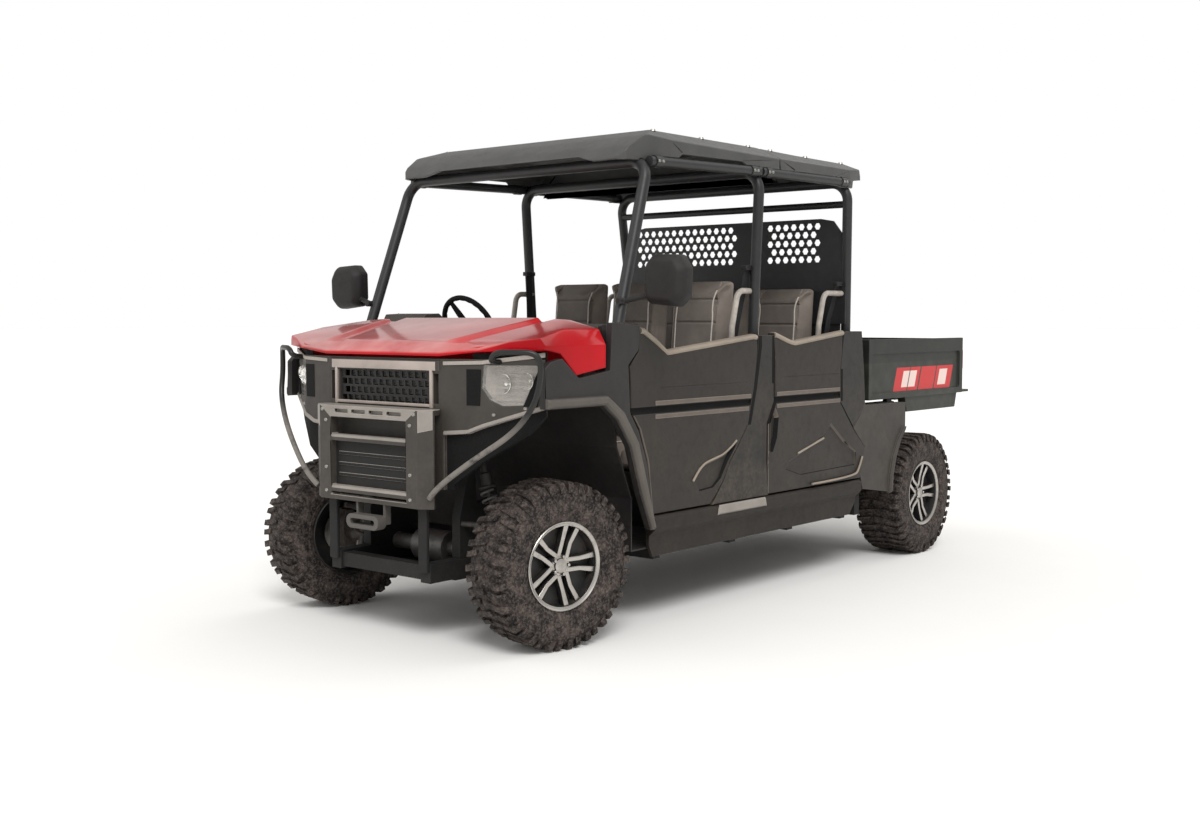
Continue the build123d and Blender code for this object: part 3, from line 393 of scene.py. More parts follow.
@contextmanager
def edit(obj, test, mode="FACE"):
    """Edit mode with the faces or points that pass a test selected, for the steps inside."""
    activate(obj)
    bpy.ops.object.mode_set(mode="EDIT")
    bpy.ops.mesh.select_mode(type=mode)
    bpy.ops.mesh.select_all(action="DESELECT")
    leave()
    for part in obj.data.polygons if mode == "FACE" else obj.data.vertices:
        part.select = bool(test(part))
    bpy.ops.object.mode_set(mode="EDIT")
    yield
    leave()


def extrude(step):
    bpy.ops.mesh.extrude_region_move(TRANSFORM_OT_translate={"value": step})


def shift(step):
    bpy.ops.transform.translate(value=step)


def stretch(factors, **about):
    bpy.ops.transform.resize(value=factors, **about)


def inset(thickness, depth=0):
    bpy.ops.mesh.inset(thickness=thickness, depth=depth)


def weld():
    bpy.ops.mesh.select_all(action="SELECT")
    bpy.ops.mesh.remove_doubles(threshold=1e-5)


def outward():
    bpy.ops.mesh.select_all(action="SELECT")
    bpy.ops.mesh.normals_make_consistent(inside=False)


def drop(*objects):
    for obj in objects:
        bpy.data.objects.remove(obj)


def modify(obj, kind, **settings):
    activate(obj)
    modifier = obj.modifiers.new(kind.lower(), kind)
    for key, value in settings.items():
        setattr(modifier, key, value)
    bpy.ops.object.modifier_apply(modifier=modifier.name)
    return obj


def started(name):
    obj = bpy.context.object
    obj.name = obj.data.name = name
    return apply_place(obj)


def cube(name, low, high):
    """A box between two corners, to be shaped."""
    deselect()
    low, high = Vector(low), Vector(high)
    bpy.ops.mesh.primitive_cube_add(size=1, location=(low + high) / 2, scale=high - low)
    return started(name)


def facing(direction):
    """The turn from +Z to a direction."""
    return Vector((0, 0, 1)).rotation_difference(Vector(direction))


def disc(name, radius, depth, centre, along, sides):
    """A round slug about a centre, along a direction, to be shaped."""
    deselect()
    bpy.ops.mesh.primitive_cylinder_add(vertices=sides, radius=radius, depth=depth, location=centre,
        rotation=facing(along).to_euler())
    return started(name)


def bevelled(obj, width, segments=2, angle=30):
    return modify(obj, "BEVEL", width=width, segments=segments, limit_method="ANGLE",
        angle_limit=math.radians(angle), use_clamp_overlap=False)


def line(name, points, closed=False):
    """Points joined by edges, each extruded from the last. It is left in edit mode with all selected."""
    deselect()
    points = [Vector(p) for p in points]
    bpy.ops.mesh.primitive_plane_add(size=0.001, location=points[0])
    obj = bpy.context.object
    obj.name = obj.data.name = name
    bpy.ops.object.mode_set(mode="EDIT")
    bpy.ops.mesh.select_mode(type="VERT")
    bpy.ops.mesh.select_all(action="SELECT")
    bpy.ops.mesh.merge(type="CENTER")
    for here, there in zip(points, points[1:] + (points[:1] if closed else [])):
        extrude(there - here)
    weld()
    return obj


def slab(name, points, depth):
    """A flat outline filled and given thickness along a direction."""
    obj = line(name, points, True)
    bpy.ops.mesh.edge_face_add()
    extrude(depth)
    outward()
    leave()
    return apply_place(obj)


def lathe(name, pairs, axis, steps, closed=False):
    """A line spun round an axis: pairs of place along it and radius for X, radius and place for Y and Z."""
    obj = line(name, [(a, b, 0) if axis == "Y" else (a, 0, b) for a, b in pairs], closed)
    bpy.ops.mesh.spin(steps=steps, angle=2 * math.pi, center=(0, 0, 0), axis=[axis == k for k in "XYZ"])
    weld()
    outward()
    leave()
    return apply_place(obj)


def tube(name, points, radius, sides, straight=False):
    """A round bar along points, as a curve made a mesh: smooth, or straight between them."""
    deselect()
    curve = bpy.data.curves.new(name, "CURVE")
    curve.dimensions = "3D"
    curve.bevel_depth = radius
    curve.bevel_resolution = max(0, sides // 4 - 1)
    curve.use_fill_caps = True
    curve.resolution_u = 8
    spline = curve.splines.new("POLY" if straight else "NURBS")
    spline.points.add(len(points) - 1)
    for point, place in zip(spline.points, points):
        point.co = (*place, 1)
    if not straight:
        spline.order_u = 3
        spline.use_endpoint_u = True
    activate(placed(name, curve))
    bpy.ops.object.convert(target="MESH")
    return bpy.context.object


def copied(obj, name, matrix):
    """A copy with its own mesh, placed by a matrix, with its faces outward after a mirror."""
    other = placed(name, obj.data.copy())
    other.data.transform(matrix)
    if matrix.determinant() < 0:
        other.data.flip_normals()
    return other


def copies(tool, name, matrices):
    """Copies of a shape that is made once and then removed."""
    made = [copied(tool, name, matrix) for matrix in matrices]
    drop(tool)
    return made


def joined(name, objects):
    activate(*objects)
    if len(objects) > 1:
        bpy.ops.object.join()
    obj = bpy.context.object
    obj.name = obj.data.name = name
    return obj


def coloured(obj, *materials, smooth=SMOOTH):
    """Smooth shading and materials."""
    activate(obj)
    bpy.ops.object.shade_smooth_by_angle(angle=smooth)
    obj.data.materials.clear()
    for material in materials:
        obj.data.materials.append(material)


def dressed(obj, *materials, body="chassis", slot="dark_plastic", smooth=SMOOTH):
    """Shading, materials and the body it rides on. The slot argument is not used."""
    coloured(obj, *materials, smooth=smooth)
    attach(obj, body)
    return obj


BODY_OF = {n: b for b, nodes in frame["record"]["behaviour"]["bodies"].items() for n in nodes}
SLOT_OF = {row["node"]: row["material_slot"] for row in frame["record"]["subparts"]}


def softened(node, width, which, *materials):
    """A copy of a CAD node with rounded edges, which stands for it. A function picks each face's material."""
    obj = placed(node + "_finished", frame["nodes"][node].data.copy())
    with edit(obj, lambda f: True):
        weld()
    if node == "hood":
        raised_lip(obj)
    bevelled(obj, width)
    dressed(obj, *materials, body=BODY_OF[node], slot=SLOT_OF[node])
    if which:
        for face in obj.data.polygons:
            face.material_index = int(which(face))
    modify(obj, "WEIGHTED_NORMAL", keep_sharp=True)
    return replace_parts(obj, node)


def raised_lip(hood):
    """Lifts the hood's lower front edge outboard of the grille, over the light strips."""
    for inner, lift in ((0.5, 0.02), (0.7, 0.012)):
        lip = lambda v: v.co.z < 1.202 and abs(v.co.x) > inner and v.co.y < FRONT_AXLE_Y - 0.12
        with edit(hood, lip, "VERT"):
            shift((0, 0, lift))


# ---- camera, light and floor ----
def studio():
    camera = placed("camera", bpy.data.cameras.new("camera"))
    camera.location = (4.3928, -5.7605, 1.329)
    camera.rotation_euler = (math.radians(86.35), 0, math.radians(39.99))
    camera.data.sensor_width = 36
    camera.data.lens = 41.47
    bpy.context.scene.camera = camera
    bpy.context.scene.view_settings.view_transform = "Standard"

    suns = (("key", (0.75, -0.65, 1.0), 1.9, 25), ("fill", (-0.8, -0.9, 0.9), 0.5, 60),
        ("back", (0.2, 1.0, 1.1), 0.6, 60))
    for name, place, strength, spread in suns:
        data = bpy.data.lights.new(name, "SUN")
        data.energy = strength
        data.angle = math.radians(spread)
        placed(name, data).rotation_euler = (-Vector(place)).to_track_quat("-Z", "Y").to_euler()

    world = bpy.data.worlds.new("studio")
    bpy.context.scene.world = world
    world.use_nodes = True
    tree = world.node_tree
    tree.nodes.clear()
    kinds = ("OutputWorld", "LightPath", "Background", "Background", "MixShader")
    out, path, backdrop, room, choose = [tree.nodes.new("ShaderNode" + kind) for kind in kinds]
    backdrop.inputs["Color"].default_value = (1, 1, 1, 1)
    room.inputs["Color"].default_value = (1, 0.985, 0.965, 1)
    room.inputs["Strength"].default_value = 0.6
    for k, source in enumerate((path.outputs["Is Camera Ray"], room.outputs[0], backdrop.outputs[0])):
        tree.links.new(source, choose.inputs[k])
    tree.links.new(choose.outputs[0], out.inputs["Surface"])

    deselect()
    bpy.ops.mesh.primitive_plane_add(size=300, location=(0, 0, 0))
    floor = started("floor")
    finish = Finish("floor_pale", Roughness=0.9, Specular_IOR_Level=0.1)
    finish.put(Base_Color=finish.mix(finish.noise(3, 4) * 0.25, rgb(246, 245, 243), rgb(238, 236, 233)))
    floor.data.materials.append(finish.material)


studio()


# ---- wheels ----
def wheel_place(front, side):
    """From a wheel's own frame, axle along X and outer face towards +X, to its place."""
    flip = Matrix.Diagonal((side, 1, 1, 1))
    if not front:
        return Matrix.Translation((side * REAR_TRACK / 2, FRONT_AXLE_Y + WHEELBASE, TYRE_RADIUS)) @ flip
    hub = Matrix.Translation((side * FRONT_TRACK / 2, FRONT_AXLE_Y, TYRE_RADIUS))
    kingpin = Matrix.Translation((side * (FRONT_TRACK / 2 - KINGPIN_INSET), FRONT_AXLE_Y, 0))
    return kingpin @ Matrix.Rotation(STEER_REST, 4, "Z") @ kingpin.inverted() @ hub @ flip


PITCHES = 42
RIM_FACE = 0.03                     # how far the spokes stand in from the tyre's side


def lug(name, x_in, half, width, skew):
    """A tread block from the middle over the shoulder, its two ends offset round the tyre."""
    block = cube(name, (x_in, -width / 2, 0.318), (half - 0.02, width / 2, TYRE_RADIUS - 0.0005))
    for step in ((0.012, 0, -0.004), (0.01, 0, -0.02)):
        with edit(block, lambda f: f.normal.x > 0.55):
            extrude(step)
    with edit(block, lambda v: v.co.x > (x_in + half) / 2, "VERT"):
        shift((0, -skew, 0))
    with edit(block, lambda f: f.normal.z > 0.9 and f.area > 0.0002):
        inset(0.0036)
        shift((0, 0, -0.002))
    return bevelled(block, 0.0012, 1, 35)


def behind(x, *rows):
    """Points of a section: how far in from x, and the radius."""
    return [(x - depth, radius) for depth, radius in rows]


def tyre_model(width):
    """A ring of rubber with long and short lugs in turn, and a knob on the sidewall between them."""
    half = width / 2
    wall = behind(half, (0.032, 0.171), (0.014, 0.1815), (0.011, 0.19), (0.005, 0.202), (0.001, 0.218),
        (0.003, 0.222), (0.001, 0.228), (0.0005, 0.262), (0.004, 0.29), (0.016, 0.316), (0.042, 0.3285))
    inboard = behind(half, (0.032, 0.187), (0.014, 0.1925), (0.011, 0.196)) + wall[3:]
    rows = wall + [(-x, r) for x, r in reversed(inboard)] + [(-0.045, 0.187), (0.005, 0.171)]
    pieces = [lathe("tyre", rows, "X", 88, True)]
    long = lug("lug_long", -0.012, half, 0.025, 0.021)
    short = lug("lug_short", 0.034, half - 0.002, 0.023, 0.015)
    knob = cube("sidewall_knob", (half - 0.018, -0.007, 0.268), (half - 0.001, 0.007, 0.3))
    with edit(knob, lambda v: v.co.z > 0.29 and v.co.x > half - 0.01, "VERT"):
        shift((-0.007, 0, 0))
    bevelled(knob, 0.0014, 1)
    for i in range(PITCHES):
        turn, half_turn = [Matrix.Rotation(2 * math.pi * (i + k) / PITCHES, 4, "X") for k in (0, 0.5)]
        right, left = (long, short) if i % 2 else (short, long)
        pieces += [copied(right, "lug", turn), copied(left, "lug", turn @ ACROSS)]
        pieces += [copied(knob, "knob", half_turn), copied(knob, "knob", half_turn @ ACROSS)]
    drop(long, short, knob)
    return joined("tyre", pieces)


SPOKE_PHASE = math.radians(-18)      # one pair of spokes points rearwards


def rim_model(width):
    """Dished alloy with five pairs of machined spokes, its nuts and cap, and the brake disc behind."""
    half = width / 2
    face = half - RIM_FACE
    outer = behind(half, (0.026, 0.17), (0.018, 0.1785), (0.01, 0.18), (0.008, 0.1775), (0.014, 0.165),
        (0.03, 0.162))
    barrel = [(-half + 0.014, 0.1915), (-half + 0.022, 0.1862), (-0.046, 0.1862), (0.004, 0.17), *outer,
        (0.002, 0.162), (-0.048, 0.1785), (-half + 0.02, 0.1785), (-half + 0.01, 0.187)]
    pieces = [lathe("rim", barrel, "X", 80, True)]
    spoke = cube("spoke", (face - 0.036, 0.011, 0.034), (face - 0.01, 0.03, 0.096))
    with edit(spoke, lambda f: f.normal.z > 0.9):
        extrude((0.012, 0.01, 0.069))
    with edit(spoke, lambda v: v.co.z > 0.15, "VERT"):
        stretch((1, 1.25, 1))
    with edit(spoke, lambda f: f.normal.x > 0.7):
        inset(0.0022, 0.0018)
    bevelled(spoke, 0.0012, 2, 30)
    turns = [Matrix.Rotation(2 * math.pi * k / 5 + SPOKE_PHASE, 4, "X") for k in range(5)]
    ways = [Matrix.Diagonal((1, way, 1, 1)) for way in (1, -1)]
    pieces += copies(spoke, "spoke", [turn @ way for turn in turns for way in ways])
    disc_line = [(-0.036, 0.0157), (-0.036, 0.1), (-0.031, 0.1), (-0.031, 0.056), (-0.02, 0.05)]
    hub = disc_line + behind(face, (0.016, 0.047), (0.01, 0.043), (0.01, 0.031), (0.004, 0.029),
        (0.002, 0.024), (0.001, 0.001), (0.01, 0.0005), (0.02, 0.0157))
    pieces.append(lathe("hub", hub, "X", 48, True))
    web = behind(face, (0.048, 0.046), (0.038, 0.1625), (0.042, 0.1625), (0.053, 0.046))
    pieces.append(lathe("web", web, "X", 64, True))
    nut = disc("nut", 0.0075, 0.016, (face - 0.008, 0, 0.037), (1, 0, 0), 6)
    pieces += copies(bevelled(nut, 0.0012, 1), "nut", turns)
    lip = behind(half, (0.016, 0.1635), (0.0075, 0.177), (0.0095, 0.1798), (0.018, 0.167))
    pieces.append(lathe("lip", lip, "X", 80, True))
    return joined("rim", pieces)


def machine_faces(obj, width):
    """Material 1 on the turned front faces of spokes, hub, nuts and lip."""
    face = width / 2 - RIM_FACE
    for polygon in obj.data.polygons:
        radius = math.hypot(polygon.center.y, polygon.center.z)
        front = polygon.center.x > face - 0.012 and polygon.normal.x > 0.55
        disc_face = polygon.center.x < -0.028 and radius < 0.101
        polygon.material_index = 1 if front or disc_face or radius > 0.166 and polygon.center.x > face else 0


def wheels():
    for place, width in (("front", FRONT_TYRE_WIDTH), ("rear", REAR_TYRE_WIDTH)):
        tyre = tyre_model(width)
        rim = rim_model(width)
        for side, sign in SIDES:
            matrix = wheel_place(place == "front", sign)
            body = f"wheel_{place}_{side}"
            tread = copied(tyre, f"tyre_{place}_{side}_tread", matrix)
            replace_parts(dressed(tread, RUBBER, body=body, slot="tyre_rubber"), f"tyre_{place}_{side}")
            wheel = copied(rim, f"rim_{place}_{side}_alloy", Matrix.Identity(4))
            dressed(wheel, POCKET, MACHINED, body=body, slot="wheel_alloy")
            machine_faces(wheel, width)
            wheel.data.transform(matrix)
            if sign < 0:
                wheel.data.flip_normals()
            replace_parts(wheel, f"rim_{place}_{side}")
        drop(tyre, rim)


wheels()

# ---- front end ----
NOSE = ((0.35, -0.3), (0.55, -0.27), (0.768, -0.143))    # the nose's line in plan: x, station
LAMP = ((0.555, 1.145), (0.758, 1.145), (0.728, 0.99), (0.62, 0.985), (0.575, 1.01), (0.548, 1.055))


def between(rows, x):
    """The value at x on a line of three points."""
    (x0, v0), (x1, v1) = rows[:2] if x < rows[1][0] else rows[1:]
    return v0 + (x - x0) * (v1 - v0) / (x1 - x0)


def on_nose(x, z, back):
    """A point a distance behind the nose's skin."""
    return at(x, between(NOSE, x) + back, z)


def mirrored_pair(name, *parts):
    """Parts of the left side and their mirror images, as one."""
    left = joined(name, parts)
    return joined(name, [left, copied(left, name, ACROSS)])


def along_nose(name, low, high, back, depth):
    """A strip on the nose between two lines of points, one above the other, folded where the nose folds."""
    pieces = []
    for k in range(len(low) - 1):
        ends = (low[k], low[k + 1], high[k + 1], high[k])
        pieces.append(slab(name, [on_nose(x, z, back) for x, z in ends], (0, depth, 0)))
    return joined(name, pieces)


def lamps():
    """Lamp bodies with two bright bowls, a clear cover, and a light strip along the nose above each."""
    shell = slab("lamp_shell", [on_nose(x, z, 0.007) for x, z in LAMP], (0, 0.022, 0))
    with edit(shell, lambda f: f.normal.y < -0.5):
        inset(0.004, -0.012)
    for k in range(5):
        z = 1.004 + 0.024 * k
        corners = ((0.59, z), (0.722, z), (0.722, z + 0.01), (0.59, z + 0.01))
        rib = slab("rib", [on_nose(x, y, 0.014) for x, y in corners], (0, 0.006, 0))
        shell = joined("lamp_shell", [shell, rib])
    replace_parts(dressed(mirrored_pair("lamp_housings", shell), BACKING, slot="lamp_lens"), "headlamps")

    bowls = []
    for x, z, radius in ((0.618, 1.072, 0.037), (0.7, 1.082, 0.031)):
        cup = ((1, 0.0), (1.04, 0.0005), (1, 0.003), (0.86, 0.008), (0.55, 0.014), (0.3, 0.0165),
            (0.3, 0.01), (0.2, 0.007), (0, 0.006), (0, 0.018), (0.6, 0.0165), (0.97, 0.006))
        bowl = lathe("bowl", [(radius * k, depth) for k, depth in cup], "Y", 40, True)
        bowl.data.transform(Matrix.Translation(on_nose(x, z, 0.01)))
        bowls.append(bowl)
    dressed(mirrored_pair("lamp_bowls", *bowls), CHROME, slot="lamp_lens")

    strip = along_nose("strip", ((0.362, 1.142), (0.55, 1.148), (0.768, 1.176)),
        ((0.362, 1.157), (0.55, 1.163), (0.768, 1.195)), -0.005, 0.009)
    dressed(mirrored_pair("lamp_light_strips", bevelled(strip, 0.0015, 2, 60)), MILKY, slot="lamp_lens")
    shade = along_nose("shade", ((0.5, 1.16), (0.55, 1.16), (0.768, 1.16)),
        ((0.5, 1.19), (0.55, 1.192), (0.768, 1.199)), 0.008, 0.006)
    beside = along_nose("beside", ((0.476, 0.985), (0.54, 0.985)), ((0.476, 1.128), (0.546, 1.128)), -0.0025,
        0.006)
    # a dark strip along each lamp's outer edge: painted shade of the gap there
    gap_shade = along_nose("gap_shade", ((0.694, 0.984), (0.742, 0.984)), ((0.757, 1.152), (0.771, 1.152)), -0.003, 0.008)
    dressed(mirrored_pair("nose_panels_dark", shade, beside, gap_shade), BLACK_AND_SHADE)
    cover = slab("lamp_cover", [on_nose(x, z, 0.002) for x, z in LAMP], (0, 0.0018, 0))
    dressed(mirrored_pair("lamp_covers", cover), LENS, slot="lamp_lens")


def nose_fittings():
    """Light edges round the grille, and screws along the bumper and the nose."""
    half, low, high, face = 0.288, 0.971, 1.119, -0.309
    bars = []
    for x0, x1, z0, z1 in ((-0.322, 0.322, high, high + 0.036), (-half, half, low, low + 0.012),
            (half, half + 0.014, low - 0.004, high + 0.002), (-half - 0.014, -half, low - 0.004, high + 0.002)):
        bars.append(bevelled(cube("bar", at(x0, face, z0), at(x1, face + 0.012, z1)), 0.0022, 2))
    dressed(joined("grille_frame", bars), PALE)
    rows = ((0.262, 0.9), (0.262, 0.7), (0.262, 0.6), (0.285, 0.945))
    places = [at(sign * x, -0.3925, z) for sign in (1, -1) for x, z in rows]
    screws("bumper_screws", places, (0, -1, 0), 0.0065)
    places = [on_nose(x, z, -0.001) for x, z in ((0.59, 0.95), (0.7, 0.976))]
    screws("nose_screws", places + [ACROSS @ p for p in places], (0, -1, 0), 0.006)


def bumper_caps():
    """Light plates over the upper ends of the bumper's chamfered sides."""
    out = Vector((0.53, -0.85, 0)) * 0.0015
    corners = ((0.305, -0.3902, 0.872), (0.3585, -0.357, 0.885), (0.3585, -0.357, 0.96),
        (0.305, -0.3902, 0.96))
    cap = bevelled(slab("cap", [at(*corner) + out for corner in corners], out * -3), 0.0008, 1, 60)
    dressed(mirrored_pair("bumper_caps", cap), TRIM_AND_HIGHLIGHT)


def guards():
    """A tube up each side of the nose, round the lamp to the brow above it."""
    route = ((0.35, -0.368, 0.612), (0.4, -0.385, 0.655), (0.56, -0.335, 0.775), (0.71, -0.266, 0.88),
        (0.786, -0.228, 0.985), (0.8, -0.205, 1.08), (0.802, -0.203, 1.165), (0.778, -0.222, 1.198),
        (0.715, -0.262, 1.198), (0.64, -0.29, 1.198), (0.612, -0.292, 1.1575), (0.612, -0.232, 1.1575))
    tubes = mirrored_pair("brush_guard_tubes", tube("guard", [at(*p) for p in route], 0.012, 16))
    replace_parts(dressed(tubes, GUARD, slot=SLOT_OF["brush_guards"]), "brush_guards")


def screws(name, places, along, radius):
    """Flanged socket screws, modelled once and set at places, heads along a direction."""
    head = disc("head", radius, radius * 0.9, (0, 0, radius * 0.15), (0, 0, 1), 16)
    with edit(head, lambda f: f.normal.z > 0.9):
        inset(radius * 0.45)
        extrude((0, 0, -radius * 0.4))
    with edit(head, lambda v: v.co.z < -radius * 0.2, "VERT"):
        stretch((1.35, 1.35, 1))
    turn = facing(along).to_matrix().to_4x4()
    pieces = copies(head, "screw", [Matrix.Translation(place) @ turn for place in places])
    dressed(joined(name, pieces), ZINC, slot="suspension_steel")


# ---- suspension ----
def shocks():
    """Coil-over units, leaning from the lower arms to the towers."""
    low, high = Vector((0.462, 0, 0.262)), Vector((0.318, 0, 0.76))
    tilt = facing(high - low).to_matrix().to_4x4()
    line_up = [(0, 0), (0.014, 0.001), (0.016, 0.01), (0.016, 0.09), (0.034, 0.097), (0.0365, 0.1),
        (0.0365, 0.107), (0.033, 0.11), (0.0225, 0.112), (0.0225, 0.3), (0.019, 0.304), (0.0085, 0.306),
        (0.0085, 0.371), (0.033, 0.373), (0.0365, 0.377), (0.0365, 0.383), (0.022, 0.387), (0.022, 0.436),
        (0.0135, 0.443), (0.0135, 0.5), (0.01, 0.506), (0, 0.506)]
    damper = lathe("damper", line_up, "Z", 32)
    deselect()
    bpy.ops.mesh.primitive_circle_add(vertices=10, radius=0.0055, location=(0.0297, 0, 0.116),
        rotation=(math.pi / 2, 0, 0))
    spring = started("spring")
    modify(spring, "SCREW", steps=28, render_steps=28, iterations=8, screw_offset=0.0312,
        use_merge_vertices=True)
    with edit(spring, lambda f: True):
        bpy.ops.mesh.fill_holes(sides=0)
        outward()
    for part, material, name in ((damper, SUSPENSION, "shock_dampers"), (spring, SPRING, "shock_springs")):
        pieces = copies(part, name, [Matrix.Translation(at(0, station - 0.048, 0))
            @ Matrix.Diagonal((sign, 1, 1, 1)) @ Matrix.Translation(low) @ tilt for station in (0, WHEELBASE)
            for sign in (1, -1)])
        whole = dressed(joined(name, pieces), material, slot="suspension_steel")
        if name == "shock_dampers":
            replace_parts(whole, "shock_absorbers")


# ---- cabin ----
COLUMN = Matrix(((1, 0, 0, -0.56), (0, 0.423, 0.906, FRONT_AXLE_Y + 0.76), (0, -0.906, 0.423, 1.281),
    (0, 0, 0, 1)))


def steering_wheel():
    deselect()
    bpy.ops.mesh.primitive_torus_add(major_radius=0.1645, minor_radius=0.0135, major_segments=72,
        minor_segments=16)
    ring = started("steering_wheel_grip")
    with edit(ring, lambda v: math.hypot(v.co.x, v.co.y) < 0.161 and v.index // 16 % 3 == 0, "VERT"):
        bpy.ops.transform.shrink_fatten(value=-0.0018)
    hub_line = [(0, -0.015), (0.04, -0.015), (0.045, -0.01), (0.045, 0.01), (0.038, 0.019), (0.034, 0.02),
        (0.032, 0.018), (0, 0.021)]
    pieces = [ring, lathe("hub", hub_line, "Z", 40)]
    spoke = cube("spoke", (0.034, -0.019, -0.0045), (0.09, 0.019, 0.0045))
    with edit(spoke, lambda f: f.normal.x > 0.9):
        extrude((0.07, 0, 0.002))
        stretch((1, 0.62, 1))
    bevelled(spoke, 0.0022, 2)
    wheel = joined("steering_wheel_full", pieces + copies(spoke, "spoke",
        [Matrix.Rotation(math.radians(angle) + STEER_REST * STEER_RATIO, 4, "Z") for angle in (90, 210, 330)]))
    wheel.data.transform(COLUMN)
    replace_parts(dressed(wheel, BLACK_AND_SHADE, body="steering_wheel"), "steering_wheel")


def dash_fittings():
    """Gauges in the pod, rockers below them, a grab bar, the gear lever and the pedals."""
    rings, faces = [], []
    turn = facing((0, 0.965, -0.263)).to_matrix().to_4x4()
    for x, radius in ((-0.625, 0.016), (-0.56, 0.02), (-0.495, 0.016)):
        place = Matrix.Translation(at(x, 0.4245, 1.322)) @ turn
        rings.append(lathe("bezel", [(radius, 0), (radius + 0.003, 0), (radius + 0.003, 0.004),
            (radius + 0.001, 0.006), (radius, 0.004)], "Z", 32, True))
        faces.append(lathe("dial", [(0, 0.001), (radius, 0.001), (radius, 0.0025), (0, 0.003)], "Z", 32))
        for part in (rings[-1], faces[-1]):
            part.data.transform(place)
    dressed(joined("gauge_bezels", rings), TRIM_AND_HIGHLIGHT)
    dressed(joined("gauge_faces", faces), GLOSS)

    turn = facing((0, 0.524, 0.852)).to_matrix().to_4x4()
    key = cube("rocker", (-0.009, -0.014, -0.003), (0.009, 0.014, 0.004))
    with edit(key, lambda v: v.co.z > 0 and v.co.y > 0, "VERT"):
        shift((0, 0, 0.003))
    keys = copies(bevelled(key, 0.0012, 2), "rocker", [Matrix.Translation(at(-0.64 + 0.032 * i, 0.48, 1.264))
        @ turn for i in range(6)])
    dressed(joined("switch_rockers", keys), INNER)

    route = ((0.26, 0.56, 1.19), (0.26, 0.612, 1.2), (0.3, 0.616, 1.2), (0.58, 0.616, 1.2),
        (0.62, 0.612, 1.2), (0.62, 0.56, 1.19))
    dressed(tube("grab_bar", [at(*p) for p in route], 0.01, 16), FRAME, slot="frame_steel")
    points = [at(-0.33, s, z) for s, z in ((0.54, 1.06), (0.62, 1.11), (0.65, 1.17))]
    stalk = tube("gear_stalk", points, 0.006, 12)
    knob_line = [(0, -0.004), (0.01, -0.002), (0.014, 0.01), (0.02, 0.026), (0.018, 0.04), (0.01, 0.048),
        (0, 0.05)]
    knob = lathe("knob", knob_line, "Z", 24)
    knob.data.transform(Matrix.Translation(at(-0.33, 0.65, 1.166)))
    dressed(joined("gear_lever", [stalk, knob]), BLACK_AND_SHADE)
    pedals = []
    for x, width in ((-0.64, 0.045), (-0.51, 0.075)):
        pad = cube("pedal", at(x - width / 2, 0.44, 0.47), at(x + width / 2, 0.452, 0.56))
        with edit(pad, lambda f: f.normal.y > 0.9):
            inset(0.008, 0.003)
        arm = [at(x, s, z) for s, z in ((0.446, 0.55), (0.42, 0.64), (0.385, 0.72))]
        pedals += [bevelled(pad, 0.002, 2), tube("arm", arm, 0.007, 12)]
    dressed(joined("pedals", pedals), FRAME, slot="frame_steel")


MIRROR_MIDDLE = (0.992, 1.482)
MIRROR_RIM = ((0.905, 1.388), (1.05, 1.374), (1.092, 1.412), (1.097, 1.53), (1.062, 1.586), (0.93, 1.592),
    (0.89, 1.55), (0.887, 1.43))


def mirror_line(scale, station):
    """The mirror's rim drawn in about its middle."""
    x0, z0 = MIRROR_MIDDLE
    return [at(x0 + (x - x0) * scale, station, z0 + (z - z0) * scale) for x, z in MIRROR_RIM]


def mirrors():
    """Rounded shells on arms clamped to the front pillars, and their reflecting faces."""
    shell = slab("shell", mirror_line(0.992, 0.39), (0, -0.055, 0))
    with edit(shell, lambda f: f.normal.y < -0.9):
        extrude((0, -0.033, 0))
        stretch((0.78, 1, 0.78))
    bevelled(shell, 0.012, 4, 25)
    arm = tube("arm", [at(0.79, 0.318, 1.4), at(0.905, 0.348, 1.425)], 0.011, 16, True)
    clamp = tube("clamp", [at(0.785, 0.285, 1.4), at(0.785, 0.345, 1.4)], 0.014, 20, True)
    bevelled(clamp, 0.003, 2, 60)
    whole = dressed(mirrored_pair("mirror_shells", shell, arm, clamp), INNER, slot=SLOT_OF["mirrors"])
    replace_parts(whole, "mirrors")
    glass = mirrored_pair("mirror_faces", slab("glass", mirror_line(0.84, 0.3895), (0, 0.002, 0)))
    dressed(glass, MIRROR, slot="lamp_lens")


CAP_X = 0.778
DOOR_X = 0.8


def door_caps():
    """Rounded capping along the top of each door, up to both posts, light as the painted highlight along its
    rolled top.
    """
    tops = {
        "front": ((0.43, 1.287), (0.455, 1.284), (0.54, 1.237), (0.614, 1.19), (0.64, 1.192),
                  (1.277, 1.252), (1.304, 1.25)),
        "rear": ((1.461, 1.259), (1.474, 1.259), (1.6, 1.223), (1.64, 1.217), (2.1, 1.264))}
    for place, top in tops.items():
        for side, sign in SIDES:
            points = [at(sign * CAP_X, s, z - 0.01) for s, z in top]
            cap = tube(f"door_cap_{place}_{side}", points, 0.015, 16, True)
            with edit(cap, lambda f: True):
                stretch((1.45, 1, 1), center_override=(sign * CAP_X, 0, 0))
            dressed(cap, CAPPING_HIGHLIT, body=f"door_{place}_{side}")


DOOR_HIGHLIGHT_LINES = {
    "front": (((0.52, 1.23), (0.52, 1.248)),
              (((0.796, 0.609), (0.853, 0.676), (0.955, 0.698), (1.05, 0.716), (1.132, 0.768)),)),
    "rear": (((1.47, 2.062), (1.47, 2.058)),
             (((1.663, 0.668), (1.778, 0.697), (1.906, 0.727)),
              ((1.801, 0.505), (2.219, 0.505), (2.272, 0.545), (2.3, 0.605))))}


